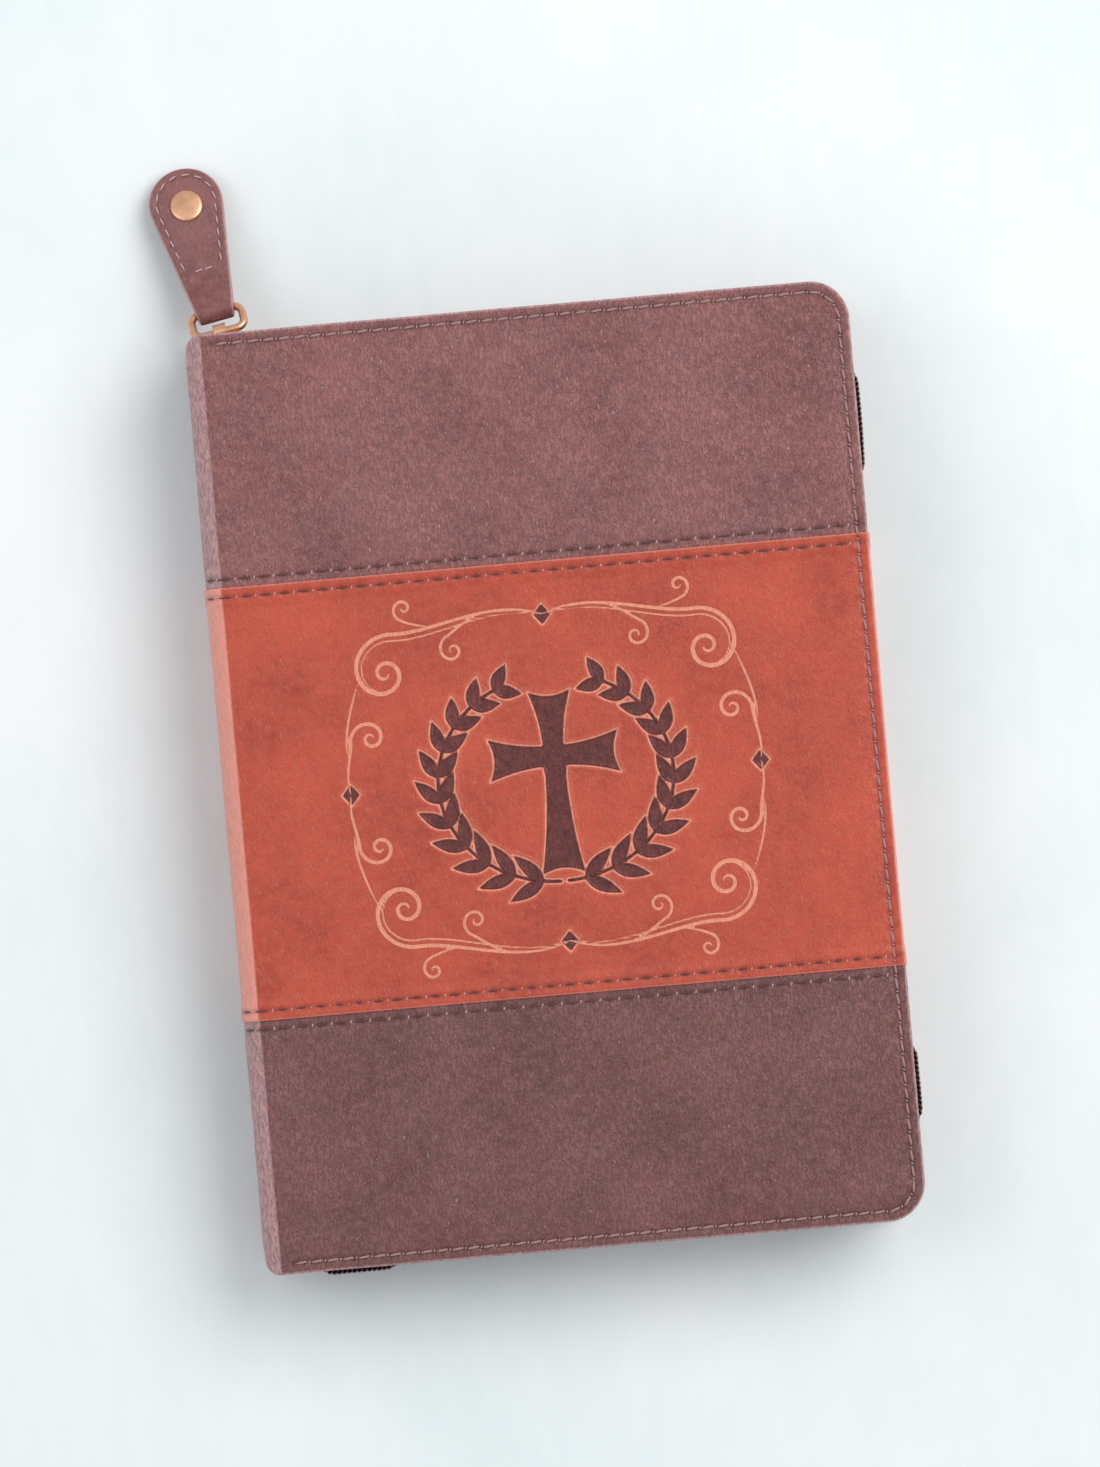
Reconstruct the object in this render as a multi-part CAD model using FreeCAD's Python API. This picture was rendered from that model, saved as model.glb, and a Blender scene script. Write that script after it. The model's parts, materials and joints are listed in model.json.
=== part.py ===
"""A zipped bible in two-tone leather covers, closed and lying on its back cover.

Millimetres. X runs from the spine to the fore-edge, Y from the tail to the head and Z up
through the thickness. The origin is the middle of the back cover's outer face.
"""
import FreeCAD, Part
import math
import os

Vector = FreeCAD.Vector
X_AXIS = Vector(1, 0, 0)
Y_AXIS = Vector(0, 1, 0)
Z_AXIS = Vector(0, 0, 1)

# ---- the whole book
BOOK_WIDTH = 152.0
BOOK_HEIGHT = 216.0
BOOK_THICKNESS = 30.0
CORNER_RADIUS = 9.0
CLEARANCE = 0.3               # between pieces that move past each other

# ---- covers: leather outside, board in the middle, lining inside
COVER_THICKNESS = 3.0
JOINT_GAP = 3.0               # from a hinge line to the board beside it
SPINE_WALL_GAP = 1.0          # between a cover's inner face and the spine wall
SPINE_END_INSET = 2.8         # the spine wall stops short of the covers' head and tail
LEATHER = 0.9
LINING = 0.7
CENTRE_BAND = 99.5            # height of the contrasting band between the two seams
STITCH_WIDTH = 0.6
STITCH_GROOVE = 0.4
STITCH_SINK = 0.1             # how far the thread lies below the leather
EDGE_STITCH_INSET = 2.5
EDGE_STITCH_START = 6.6       # from the spine to the first edge stitch
SEAM_STITCH_OUTSIDE = 1.9     # from the seam to the row on the head or tail strip
SEAM_STITCH_INSIDE = 2.3      # from the seam to the row on the centre band
SEAM_STITCH_START = 2.5       # from the spine to the first seam stitch

# ---- page block
PAGE_HALF_HEIGHT = 99.0
PAGE_FORE_EDGE = 69.0
PAGE_CORNER = 6.0
FLYLEAF = 0.3
MULL = 0.8                    # the cloth and glue strip on the back of the pages
MULL_GAP = 1.2                # between the spine wall and the mull
HEADBAND_RADIUS = 0.7
RIBBON_WIDTH = 6.0
RIBBON_THICKNESS = 0.25
RIBBON_FROM_SPINE = 18.0      # where the ribbon crosses the middle of the page
RIBBON_TURN = 6.0             # degrees that the ribbon lies aslant
RIBBON_END_INSET = 1.5        # from the head and tail of the pages

# ---- zip
ZIP_INSET = 4.5               # from the cover's edge to the middle of the tape
ZIP_FROM_SPINE = 4.1
TAPE_THICKNESS = 0.8
COIL_WIDTH = 2.4
COIL_HEIGHT = 1.6
COIL_GAP = 1.6                # left between the two coils for the slider's post
STOP_LENGTH = 2.5
STOP_LEG = 1.5                # how far the bottom stop's legs reach down the tape

# ---- slider, ring and pull strap
SLIDER_LENGTH = 10.0
SLIDER_HEIGHT = 8.4
SLIDER_PLATE = 0.8
SLIDER_CHANNEL = 3.0
SLIDER_FROM_SPINE = 3.6
SLIDER_CORNER = 1.4           # radius of the plates' corners
LIP_GAP = 0.35                # between the slider's lips and the tape
POST_START = 0.8              # from the slider's end to the post between the coils
POST_LENGTH = 2.0
POST_HEIGHT = 1.0
EYE_WALL = 0.7
EYE_ROOT_HEIGHT = 3.0
EYE_REACH = 5.2               # from the tape's plane to the axis of the eye
EYE_WIDTH = 3.0
EYE_FROM_SPINE = 8.0
RING_WIRE = 1.8
RING_HALF_WIDTH = 6.0         # between the middles of the ring's wires
RING_LENGTH = 6.4
RING_BEND = 2.2
RING_LEAN = 10.5              # degrees that the pull leans towards the spine
RING_SLOPE = 35.0             # degrees that the ring slopes down
STRAP_SLOPE = 16.2            # degrees that the strap slopes down
STRAP_LENGTH = 35.5           # from the ring's wire to the round end
STRAP_HEAD_RADIUS = 8.6
STRAP_NECK_HALF_WIDTH = 3.9
STRAP_NECK_Y = -4.0           # where the neck's width is measured, behind the ring's wire
STRAP_LEATHER = 1.3
STRAP_JOIN = 9.0              # where the two layers of the strap meet
STRAP_STITCH_INSET = 1.8
STRAP_STITCH_GROOVE = 0.3
STRAP_STITCH_SINK = 0.05
STRAP_STITCH_START = 9.5      # where the row across the neck lies
RIVET_FROM_END = 9.4
RIVET_CAP_RADIUS = 3.8
RIVET_CAP_HEIGHT = 1.2
RIVET_BACK_RADIUS = 3.4
RIVET_BACK_HEIGHT = 0.5
RIVET_SHANK = 1.4

# ---- worked out from the sizes above
SPINE_X = -BOOK_WIDTH / 2
FORE_EDGE_X = BOOK_WIDTH / 2
HALF_HEIGHT = BOOK_HEIGHT / 2
SEAM_Y = CENTRE_BAND / 2
NOSE = COVER_THICKNESS / 2                      # the covers' rolled spine edges
HINGE_X = SPINE_X + NOSE
CAVITY_X = HINGE_X + JOINT_GAP
WALL_BOTTOM = COVER_THICKNESS + SPINE_WALL_GAP  # the spine wall stands between the covers
WALL_TOP = BOOK_THICKNESS - WALL_BOTTOM
PAGES_BOTTOM = COVER_THICKNESS + CLEARANCE
PAGES_TOP = BOOK_THICKNESS - PAGES_BOTTOM
MIDDLE_Z = BOOK_THICKNESS / 2
MULL_X = SPINE_X + COVER_THICKNESS + MULL_GAP
PAGE_SPINE_X = MULL_X + MULL + CLEARANCE
ZIP_START_X = SPINE_X + ZIP_FROM_SPINE
ZIP_Y = HALF_HEIGHT - ZIP_INSET
SEAM_ROWS = (
    SEAM_Y + SEAM_STITCH_OUTSIDE,
    SEAM_Y - SEAM_STITCH_INSIDE,
    SEAM_STITCH_INSIDE - SEAM_Y,
    -SEAM_Y - SEAM_STITCH_OUTSIDE,
)
STRIPS = {
    "head": (SEAM_Y, HALF_HEIGHT),
    "centre": (-SEAM_Y, SEAM_Y),
    "tail": (-HALF_HEIGHT, -SEAM_Y),
}
parts = {}


def box(low, high):
    size = [b - a for a, b in zip(low, high)]
    return Part.makeBox(*size, Vector(*low))


def outline(left, right, half_height, radius):
    """A rectangle seen from above, with its two corners on the right rounded."""
    top_turn = Vector(right - radius, half_height - radius, 0)
    low_turn = Vector(right - radius, radius - half_height, 0)
    diagonal = radius * math.sqrt(0.5)
    corners = [
        Vector(left, half_height, 0),
        top_turn + Vector(0, radius, 0),
        top_turn + Vector(radius, 0, 0),
        low_turn + Vector(radius, 0, 0),
        low_turn + Vector(0, -radius, 0),
        Vector(left, -half_height, 0),
    ]
    edges = [
        Part.makeLine(corners[0], corners[1]),
        Part.Arc(corners[1], top_turn + Vector(diagonal, diagonal, 0), corners[2]).toShape(),
        Part.makeLine(corners[2], corners[3]),
        Part.Arc(corners[3], low_turn + Vector(diagonal, -diagonal, 0), corners[4]).toShape(),
        Part.makeLine(corners[4], corners[5]),
        Part.makeLine(corners[5], corners[0]),
    ]
    return Part.Face(Part.Wire(edges))


def slab(face, low, high):
    lifted = face.copy()
    lifted.translate(Vector(0, 0, low))
    return lifted.extrude(Vector(0, 0, high - low))


def inset_face(left, inset):
    """The cover's outline, drawn in by a distance on its three free sides."""
    return outline(left, FORE_EDGE_X - inset, HALF_HEIGHT - inset, CORNER_RADIUS - inset)


def edge_band(left, inset, width, low, high):
    """A band that runs along the head, round the fore-edge and back along the tail."""
    outer = slab(inset_face(left, inset - width / 2), low, high)
    inner = slab(inset_face(left, inset + width / 2), low, high)
    return outer.cut(inner)


def rod(start, direction, radius, length):
    return Part.makeCylinder(radius, length, start, direction)


def fuse_all(shapes):
    return shapes[0].fuse(shapes[1:]).removeSplitter()


# ---- covers

def depth_span(side, outer, inner):
    """Z limits of a layer of a cover, given as depths below its outer face."""
    if side == "back":
        return outer, inner
    return BOOK_THICKNESS - inner, BOOK_THICKNESS - outer


def seam_rows(side, outer, inner):
    low, high = depth_span(side, outer, inner)
    start = SPINE_X + SEAM_STITCH_START
    end = FORE_EDGE_X - EDGE_STITCH_INSET - STITCH_WIDTH
    half = STITCH_WIDTH / 2
    return [box((start, y - half, low), (end, y + half, high)) for y in SEAM_ROWS]


def edge_row(side, outer, inner):
    low, high = depth_span(side, outer, inner)
    return edge_band(SPINE_X + EDGE_STITCH_START, EDGE_STITCH_INSET, STITCH_WIDTH, low, high)


def cover_leather(side):
    """One folded skin with a rolled spine edge, hollow for the board and the lining."""
    skin = slab(inset_face(HINGE_X, 0), *depth_span(side, 0, COVER_THICKNESS))
    nose_z = sum(depth_span(side, 0, COVER_THICKNESS)) / 2
    nose = rod(Vector(HINGE_X, -HALF_HEIGHT, nose_z), Y_AXIS, NOSE, BOOK_HEIGHT)
    cavity = slab(inset_face(CAVITY_X, LEATHER), *depth_span(side, LEATHER, COVER_THICKNESS))
    grooves = seam_rows(side, 0, STITCH_GROOVE) + [edge_row(side, 0, STITCH_GROOVE)]
    return fuse_all([skin, nose]).cut(cavity).cut(grooves)


def cut_into_strips(leather, prefix):
    for name, (low_y, high_y) in STRIPS.items():
        window = box((SPINE_X - 1, low_y, -1), (FORE_EDGE_X + 1, high_y, BOOK_THICKNESS + 1))
        parts[prefix + "_leather_" + name] = leather.common(window)


def make_cover(side):
    cut_into_strips(cover_leather(side), side)
    core = inset_face(CAVITY_X, LEATHER)
    inside = COVER_THICKNESS - LINING
    parts[side + "_board"] = slab(core, *depth_span(side, LEATHER, inside))
    parts[side + "_lining"] = slab(core, *depth_span(side, inside, COVER_THICKNESS))
    thread_depths = (STITCH_SINK, STITCH_GROOVE)
    parts[side + "_edge_thread"] = edge_row(side, *thread_depths)
    parts[side + "_seam_thread"] = Part.makeCompound(seam_rows(side, *thread_depths))


# ---- spine of the case

def spine_rows(outer, inner):
    half = STITCH_WIDTH / 2
    return [
        box((SPINE_X + outer, y - half, WALL_BOTTOM), (SPINE_X + inner, y + half, WALL_TOP))
        for y in SEAM_ROWS
    ]


def make_case_spine():
    inner_x = SPINE_X + COVER_THICKNESS
    wall_y = HALF_HEIGHT - SPINE_END_INSET
    core_y = wall_y - LEATHER
    wall = box((SPINE_X, -wall_y, WALL_BOTTOM), (inner_x, wall_y, WALL_TOP))
    core_low = (SPINE_X + LEATHER, -core_y, WALL_BOTTOM)
    leather = wall.cut(box(core_low, (inner_x, core_y, WALL_TOP)))
    cut_into_strips(leather.cut(spine_rows(0, STITCH_GROOVE)), "spine")
    parts["spine_board"] = box(core_low, (inner_x - LINING, core_y, WALL_TOP))
    parts["spine_lining"] = box((inner_x - LINING, -core_y, WALL_BOTTOM), (inner_x, core_y, WALL_TOP))
    parts["spine_seam_thread"] = Part.makeCompound(spine_rows(STITCH_SINK, STITCH_GROOVE))


# ---- page block

def make_pages():
    leaf = outline(PAGE_SPINE_X, PAGE_FORE_EDGE, PAGE_HALF_HEIGHT, PAGE_CORNER)
    back_low = PAGES_BOTTOM
    back_high = MIDDLE_Z - CLEARANCE / 2 - RIBBON_THICKNESS
    front_low = MIDDLE_Z + CLEARANCE / 2
    front_high = PAGES_TOP
    parts["back_flyleaf"] = slab(leaf, back_low, back_low + FLYLEAF)
    parts["back_pages"] = slab(leaf, back_low + FLYLEAF, back_high)
    parts["front_pages"] = slab(leaf, front_low, front_high - FLYLEAF)
    parts["front_flyleaf"] = slab(leaf, front_high - FLYLEAF, front_high)
    # The ribbon lies on the lower half, from the head of the spine across to the tail.
    ribbon_end = PAGE_HALF_HEIGHT - RIBBON_END_INSET
    ribbon = box(
        (-RIBBON_WIDTH / 2, -ribbon_end, back_high),
        (RIBBON_WIDTH / 2, ribbon_end, back_high + RIBBON_THICKNESS),
    )
    ribbon.rotate(Vector(0, 0, 0), Z_AXIS, RIBBON_TURN)
    ribbon.translate(Vector(PAGE_SPINE_X + RIBBON_FROM_SPINE, 0, 0))
    parts["ribbon_marker"] = ribbon


def make_block_spine():
    low = PAGES_BOTTOM + CLEARANCE
    high = PAGES_TOP - CLEARANCE
    half_height = PAGE_HALF_HEIGHT + CLEARANCE + 2 * HEADBAND_RADIUS
    parts["spine_mull"] = box((MULL_X, -half_height, low), (MULL_X + MULL, half_height, high))
    band_x = MULL_X + MULL + HEADBAND_RADIUS
    band_y = half_height - HEADBAND_RADIUS
    for name, y in (("headband", band_y), ("tailband", -band_y)):
        parts[name] = rod(Vector(band_x, y, low), Z_AXIS, HEADBAND_RADIUS, high - low)


# ---- zip

def make_zip():
    coil_back = (MIDDLE_Z - COIL_GAP / 2 - COIL_HEIGHT, MIDDLE_Z - COIL_GAP / 2)
    coil_front = (MIDDLE_Z + COIL_GAP / 2, MIDDLE_Z + COIL_GAP / 2 + COIL_HEIGHT)
    tape_back = (COVER_THICKNESS, coil_back[0])
    tape_front = (coil_front[1], BOOK_THICKNESS - COVER_THICKNESS)
    stop_end = ZIP_START_X + STOP_LENGTH
    coil_start = box((SPINE_X, -HALF_HEIGHT, 0), (stop_end + CLEARANCE, 0, BOOK_THICKNESS))
    for side, tape, coil in (("back", tape_back, coil_back), ("front", tape_front, coil_front)):
        parts["zip_tape_" + side] = edge_band(ZIP_START_X, ZIP_INSET, TAPE_THICKNESS, *tape)
        teeth = edge_band(ZIP_START_X, ZIP_INSET, COIL_WIDTH, *coil)
        parts["zip_coil_" + side] = teeth.cut(coil_start)
    # The bottom stop straddles the back tape at the tail, where the zip starts.
    half = COIL_WIDTH / 2
    bridge = box(
        (ZIP_START_X, -ZIP_Y - half, coil_back[0]),
        (stop_end, -ZIP_Y + half, MIDDLE_Z + COIL_GAP / 2 - CLEARANCE),
    )
    slot = box(
        (ZIP_START_X, -ZIP_Y - TAPE_THICKNESS / 2, 0),
        (stop_end, -ZIP_Y + TAPE_THICKNESS / 2, coil_back[0]),
    )
    legs = box(
        (ZIP_START_X, -ZIP_Y - half, coil_back[0] - STOP_LEG),
        (stop_end, -ZIP_Y + half, coil_back[0]),
    )
    parts["zip_bottom_stop"] = fuse_all([bridge, legs.cut(slot)])


def slider_plate(side):
    """One of the slider's two plates, with the lip that hooks behind the back coil."""
    inner = side * SLIDER_CHANNEL / 2
    outer = inner + side * SLIDER_PLATE
    lip = side * (TAPE_THICKNESS / 2 + LIP_GAP)
    bottom = -SLIDER_HEIGHT / 2
    plate = box((0, min(inner, outer), bottom), (SLIDER_LENGTH, max(inner, outer), -bottom))
    hook_y = sorted((lip, outer))
    hook = box((0, hook_y[0], bottom), (SLIDER_LENGTH, hook_y[1], bottom + SLIDER_PLATE))
    return [plate, hook]


def make_slider():
    post_y = (SLIDER_CHANNEL + SLIDER_PLATE) / 2
    post_end = POST_START + POST_LENGTH
    post = box((POST_START, -post_y, -POST_HEIGHT / 2), (post_end, post_y, POST_HEIGHT / 2))
    body = fuse_all(slider_plate(1) + slider_plate(-1) + [post])
    upright = [edge for edge in body.Edges if is_outer_corner(edge)]
    body = body.makeFillet(SLIDER_CORNER, upright)
    body.translate(Vector(SPINE_X + SLIDER_FROM_SPINE, ZIP_Y, MIDDLE_Z))
    eye_start = EYE_CENTRE - RING_AXIS * EYE_WIDTH / 2
    hole_radius = RING_WIRE / 2 + CLEARANCE
    eye = rod(eye_start, RING_AXIS, hole_radius + EYE_WALL, EYE_WIDTH)
    half = EYE_ROOT_HEIGHT / 2
    root_low = (EYE_CENTRE.x - EYE_WIDTH / 2, ZIP_Y + SLIDER_CHANNEL / 2, MIDDLE_Z - half)
    root_high = (EYE_CENTRE.x + EYE_WIDTH / 2, EYE_CENTRE.y - EYE_WALL, MIDDLE_Z + half)
    hole = rod(EYE_CENTRE - RING_AXIS * SLIDER_LENGTH, RING_AXIS, hole_radius, 2 * SLIDER_LENGTH)
    parts["slider_body"] = fuse_all([body, eye, box(root_low, root_high)]).cut(hole)


def is_outer_corner(edge):
    """The plates' corner edges, which run through the plate's thickness."""
    ends = [vertex.Point for vertex in edge.Vertexes]
    along_y = abs(ends[0].y - ends[-1].y) > SLIDER_PLATE / 2
    same_place = abs(ends[0].x - ends[-1].x) < 0.01 and abs(ends[0].z - ends[-1].z) < 0.01
    at_end = min(abs(ends[0].x), abs(ends[0].x - SLIDER_LENGTH)) < 0.01
    at_rim = abs(abs(ends[0].z) - SLIDER_HEIGHT / 2) < 0.01
    return along_y and same_place and at_end and at_rim


# ---- ring and pull strap, drawn flat and then laid along the pull's direction

EYE_CENTRE = Vector(SPINE_X + EYE_FROM_SPINE, ZIP_Y + EYE_REACH, MIDDLE_Z)
RING_AXIS = FreeCAD.Rotation(Z_AXIS, RING_LEAN).multVec(X_AXIS)


def pull_placement(centre, slope):
    lean = FreeCAD.Rotation(Z_AXIS, RING_LEAN)
    dip = FreeCAD.Rotation(X_AXIS, -slope)
    return FreeCAD.Placement(centre, lean.multiply(dip))


RING_PLACEMENT = pull_placement(EYE_CENTRE, RING_SLOPE)
BAR_CENTRE = RING_PLACEMENT.multVec(Vector(0, RING_LENGTH, 0))
STRAP_PLACEMENT = pull_placement(BAR_CENTRE, STRAP_SLOPE)


def make_ring():
    """A wire ring: four straight sides joined by quarter bends."""
    radius = RING_WIRE / 2
    side_run = RING_LENGTH - 2 * RING_BEND
    bar_run = 2 * (RING_HALF_WIDTH - RING_BEND)
    pieces = []
    for y in (0, RING_LENGTH):
        pieces.append(rod(Vector(-bar_run / 2, y, 0), X_AXIS, radius, bar_run))
    for x in (-RING_HALF_WIDTH, RING_HALF_WIDTH):
        pieces.append(rod(Vector(x, RING_BEND, 0), Y_AXIS, radius, side_run))
    bends = ((1, 1, 0), (-1, 1, 90), (-1, -1, 180), (1, -1, 270))
    for side, end, turn in bends:
        centre = Vector(side * bar_run / 2, RING_LENGTH / 2 + end * side_run / 2, 0)
        bend = Part.makeTorus(RING_BEND, radius, Vector(0, 0, 0), Z_AXIS, -180, 180, 90)
        bend.rotate(Vector(0, 0, 0), Z_AXIS, turn)
        bend.translate(centre)
        pieces.append(bend)
    ring = fuse_all(pieces)
    ring.Placement = RING_PLACEMENT
    parts["pull_ring"] = ring


def strap_outline(inset):
    """The strap seen flat: a round head that narrows in straight lines to the neck."""
    radius = STRAP_HEAD_RADIUS - inset
    head_y = STRAP_LENGTH - STRAP_HEAD_RADIUS
    neck = Vector(STRAP_NECK_HALF_WIDTH - inset, STRAP_NECK_Y, 0)
    # The straight side leaves the head where it is tangent to the circle.
    reach = math.hypot(neck.x, head_y - neck.y)
    turn = math.acos(radius / reach) - math.atan2(head_y - neck.y, neck.x)
    touch = Vector(radius * math.cos(turn), head_y + radius * math.sin(turn), 0)
    mirrored = [Vector(-touch.x, touch.y, 0), Vector(-neck.x, neck.y, 0)]
    tip = Vector(0, head_y + radius, 0)
    edges = [
        Part.makeLine(neck, touch),
        Part.Arc(touch, tip, mirrored[0]).toShape(),
        Part.makeLine(mirrored[0], mirrored[1]),
        Part.makeLine(mirrored[1], neck),
    ]
    return Part.Face(Part.Wire(edges))


def strap_profile():
    """The strap seen from its side: wrapped round the ring's wire, then two layers."""
    inner = RING_WIRE / 2 + CLEARANCE
    outer = inner + STRAP_LEATHER
    top = STRAP_LEATHER
    points = [
        Vector(0, 0, outer),
        Vector(0, STRAP_JOIN, top),
        Vector(0, STRAP_LENGTH + 1, top),
        Vector(0, STRAP_LENGTH + 1, -top),
        Vector(0, STRAP_JOIN, -top),
        Vector(0, 0, -outer),
    ]
    edges = [Part.makeLine(a, b) for a, b in zip(points, points[1:])]
    edges.append(Part.Arc(points[-1], Vector(0, -outer, 0), points[0]).toShape())
    eye = [Vector(0, 0, inner), Vector(0, STRAP_JOIN - STRAP_LEATHER, 0), Vector(0, 0, -inner)]
    hollow = [Part.makeLine(eye[0], eye[1]), Part.makeLine(eye[1], eye[2])]
    hollow.append(Part.Arc(eye[2], Vector(0, -inner, 0), eye[0]).toShape())
    return Part.Face(Part.Wire(edges)), Part.Face(Part.Wire(hollow))


def widen(face):
    wide = 2 * STRAP_HEAD_RADIUS + 2
    shifted = face.copy()
    shifted.translate(Vector(-wide / 2, 0, 0))
    return shifted.extrude(Vector(wide, 0, 0))


def strap_stitching(low, high):
    """A row inset from the strap's edge, closed by a row across the neck."""
    half = STITCH_WIDTH / 2
    outer = slab(strap_outline(STRAP_STITCH_INSET - half), low, high)
    inner = slab(strap_outline(STRAP_STITCH_INSET + half), low, high)
    start = STRAP_STITCH_START
    keep = box((-STRAP_HEAD_RADIUS, start, low), (STRAP_HEAD_RADIUS, STRAP_LENGTH, high))
    across = box((-STRAP_HEAD_RADIUS, start, low), (STRAP_HEAD_RADIUS, start + STITCH_WIDTH, high))
    return fuse_all([outer.cut(inner).common(keep), across.common(outer)])


def make_pull():
    top = STRAP_LEATHER
    rivet_y = STRAP_LENGTH - RIVET_FROM_END
    body, hollow = strap_profile()
    strap = widen(body).cut(widen(hollow)).common(slab(strap_outline(0), -top * 3, top * 3))
    groove = top - STRAP_STITCH_GROOVE
    strap = strap.cut(strap_stitching(groove, top))
    strap = strap.cut(rod(Vector(0, rivet_y, -top), Z_AXIS, RIVET_SHANK, 2 * top))
    thread = strap_stitching(groove, top - STRAP_STITCH_SINK)
    # The cap is the top of a ball cut off at the cap's own radius.
    ball = (RIVET_CAP_RADIUS ** 2 + RIVET_CAP_HEIGHT ** 2) / (2 * RIVET_CAP_HEIGHT)
    dome = Part.makeSphere(ball, Vector(0, rivet_y, top + RIVET_CAP_HEIGHT - ball))
    dome = dome.common(rod(Vector(0, rivet_y, top), Z_AXIS, ball, RIVET_CAP_HEIGHT + 1))
    shank = rod(Vector(0, rivet_y, -top), Z_AXIS, RIVET_SHANK, 2 * top)
    back = rod(Vector(0, rivet_y, -top - RIVET_BACK_HEIGHT), Z_AXIS, RIVET_BACK_RADIUS,
               RIVET_BACK_HEIGHT)
    pieces = {
        "pull_strap": strap,
        "pull_thread": thread,
        "rivet_cap": fuse_all([dome, shank]),
        "rivet_back": back,
    }
    for name, shape in pieces.items():
        shape.Placement = STRAP_PLACEMENT
        parts[name] = shape


make_cover("back")
make_cover("front")
make_case_spine()
make_pages()
make_block_spine()
make_zip()
make_slider()
make_ring()
make_pull()

os.makedirs("parts", exist_ok=True)
for name, shape in parts.items():
    shape.exportStep("parts/" + name + ".step")
print(len(parts), "parts; ring's far bar at", BAR_CENTRE)
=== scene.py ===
"""The looks of the zipped bible: leather, stitching, zip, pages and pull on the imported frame.

Sizes are millimetres in the frame's axes. They become metres when a mesh is made.
"""
import json
import math

import bpy
import numpy as np
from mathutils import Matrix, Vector


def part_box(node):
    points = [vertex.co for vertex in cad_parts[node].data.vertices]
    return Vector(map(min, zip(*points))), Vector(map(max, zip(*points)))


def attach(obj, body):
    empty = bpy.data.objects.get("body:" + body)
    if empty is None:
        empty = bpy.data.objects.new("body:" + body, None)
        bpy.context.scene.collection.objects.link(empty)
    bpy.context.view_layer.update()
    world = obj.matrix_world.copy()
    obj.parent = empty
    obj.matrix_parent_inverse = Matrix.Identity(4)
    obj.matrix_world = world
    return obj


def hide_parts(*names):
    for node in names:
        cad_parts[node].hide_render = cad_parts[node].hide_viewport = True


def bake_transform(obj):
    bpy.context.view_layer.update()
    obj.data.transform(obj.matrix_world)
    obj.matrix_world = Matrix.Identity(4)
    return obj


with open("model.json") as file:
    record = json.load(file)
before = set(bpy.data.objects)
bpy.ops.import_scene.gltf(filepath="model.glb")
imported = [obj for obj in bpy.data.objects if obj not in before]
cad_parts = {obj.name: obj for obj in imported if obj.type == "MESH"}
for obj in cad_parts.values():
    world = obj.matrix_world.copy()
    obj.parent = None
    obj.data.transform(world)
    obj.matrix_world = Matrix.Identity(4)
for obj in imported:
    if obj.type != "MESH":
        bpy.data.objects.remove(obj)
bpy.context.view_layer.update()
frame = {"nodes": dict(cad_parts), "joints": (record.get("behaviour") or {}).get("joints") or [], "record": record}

MM = 0.001


def box_mm(node):
    """Lowest and highest corner of a CAD node, in millimetres."""
    low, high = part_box(node)
    return np.array(low) / MM, np.array(high) / MM


# ---- sizes read from the frame
head_low, head_high = box_mm("front_leather_head")
SPINE_X, SEAM_Y, COVER_INNER_Z = head_low
FORE_X, HEAD_Y, TOP_Z = head_high
COVER_THICKNESS = TOP_Z - COVER_INNER_Z
MIDDLE_Z = TOP_Z / 2
WALL_END_Y = box_mm("spine_leather_head")[1][1]
PAGE_SPINE_X = box_mm("back_pages")[0][0]
TAPE_X = box_mm("zip_tape_front")[1][0]
joints = {joint["name"]: joint for joint in frame["joints"]}

# ---- camera and light
LENS = 250
SENSOR_WIDTH = 36
PICTURE_HEIGHT = 335.5         # of what the picture takes in, at the front cover's face
PICTURE_CENTRE = (-0.5, 10.1)
PICTURE_TURN = math.radians(-5)
DAYLIGHT = (0.93, 0.97, 1.0, 1)
DAYLIGHT_STRENGTH = 0.62

# ---- covers
CORNER_RADIUS = 9.0
EDGE_ROUND = 0.9               # radius of the folded leather at the covers' edges
TURN_IN = 5.5                  # how far the leather is folded over on the inside
INNER_DEPTH = COVER_THICKNESS + 0.05   # from the face to the folded-over leather
NOSE_DEPTH = 1.2               # the same at the roll, where the leather is only bent
SHOULDER = 3.9                 # width of the rolled band along the spine, seen from above
CREASE_TURN = math.radians(25)
CREASE_X = SPINE_X + SHOULDER
CENTRE_X = FORE_X - CORNER_RADIUS
CENTRE_Y = HEAD_Y - CORNER_RADIUS
SEAM_LIFT = 0.45               # the band's hem stands this proud of the strips it overlaps
BAND_UNDERLAP = 0.8            # how far the end strips reach in under the band
PLAIN_STEP = 0.8               # spacing of the points across plain leather
ROW_STEP = 0.6                 # spacing of the points up plain leather
ORNAMENT_STEP = 0.42           # spacing of the points where the ornament is pressed in
ORNAMENT_HALF = (52.0, 47.0)   # half the width and height of the place that the ornament takes
FAR = 5.0                      # distance given to points that no ornament is near
DARK_DEPTH = 0.45              # how far the dark shapes are pressed in
LINE_DEPTH = 0.08
LIP_HEIGHT = 0.14              # of the leather pushed up beside a dark shape
UNEVEN = ((0.10, 45), (0.035, 13))   # depth and length of the leather's broad and fine waves

# ---- stitching
EDGE_ROW_INSET = 2.5
EDGE_ROW_START = 6.6           # from the spine
EDGE_STITCHES = 69             # from the middle of the fore-edge to the spine
SEAM_ROW_OUTSIDE = 1.9
SEAM_ROW_INSIDE = 2.3
SEAM_PITCH = 4.4

# ---- zip
ZIP_INSET = FORE_X - TAPE_X + 0.4
TOOTH_PITCH = 1.15
TOOTH_RADIUS = 0.36            # of the nylon that the coil is bent from
TAPE_FROM_SPINE = 4.3          # where the tape ends, and the teeth a little sooner
TEETH_FROM_SPINE = 7.5
TAPE_STEP = 1.2
TAPE_HALF = 0.35               # half the tape's thickness
TAPE_PAST_MIDDLE = 1.1         # between the tape's free edge and the book's middle plane
ZIP_WAVE = 0.25                # how far the zip wanders in and out
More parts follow.
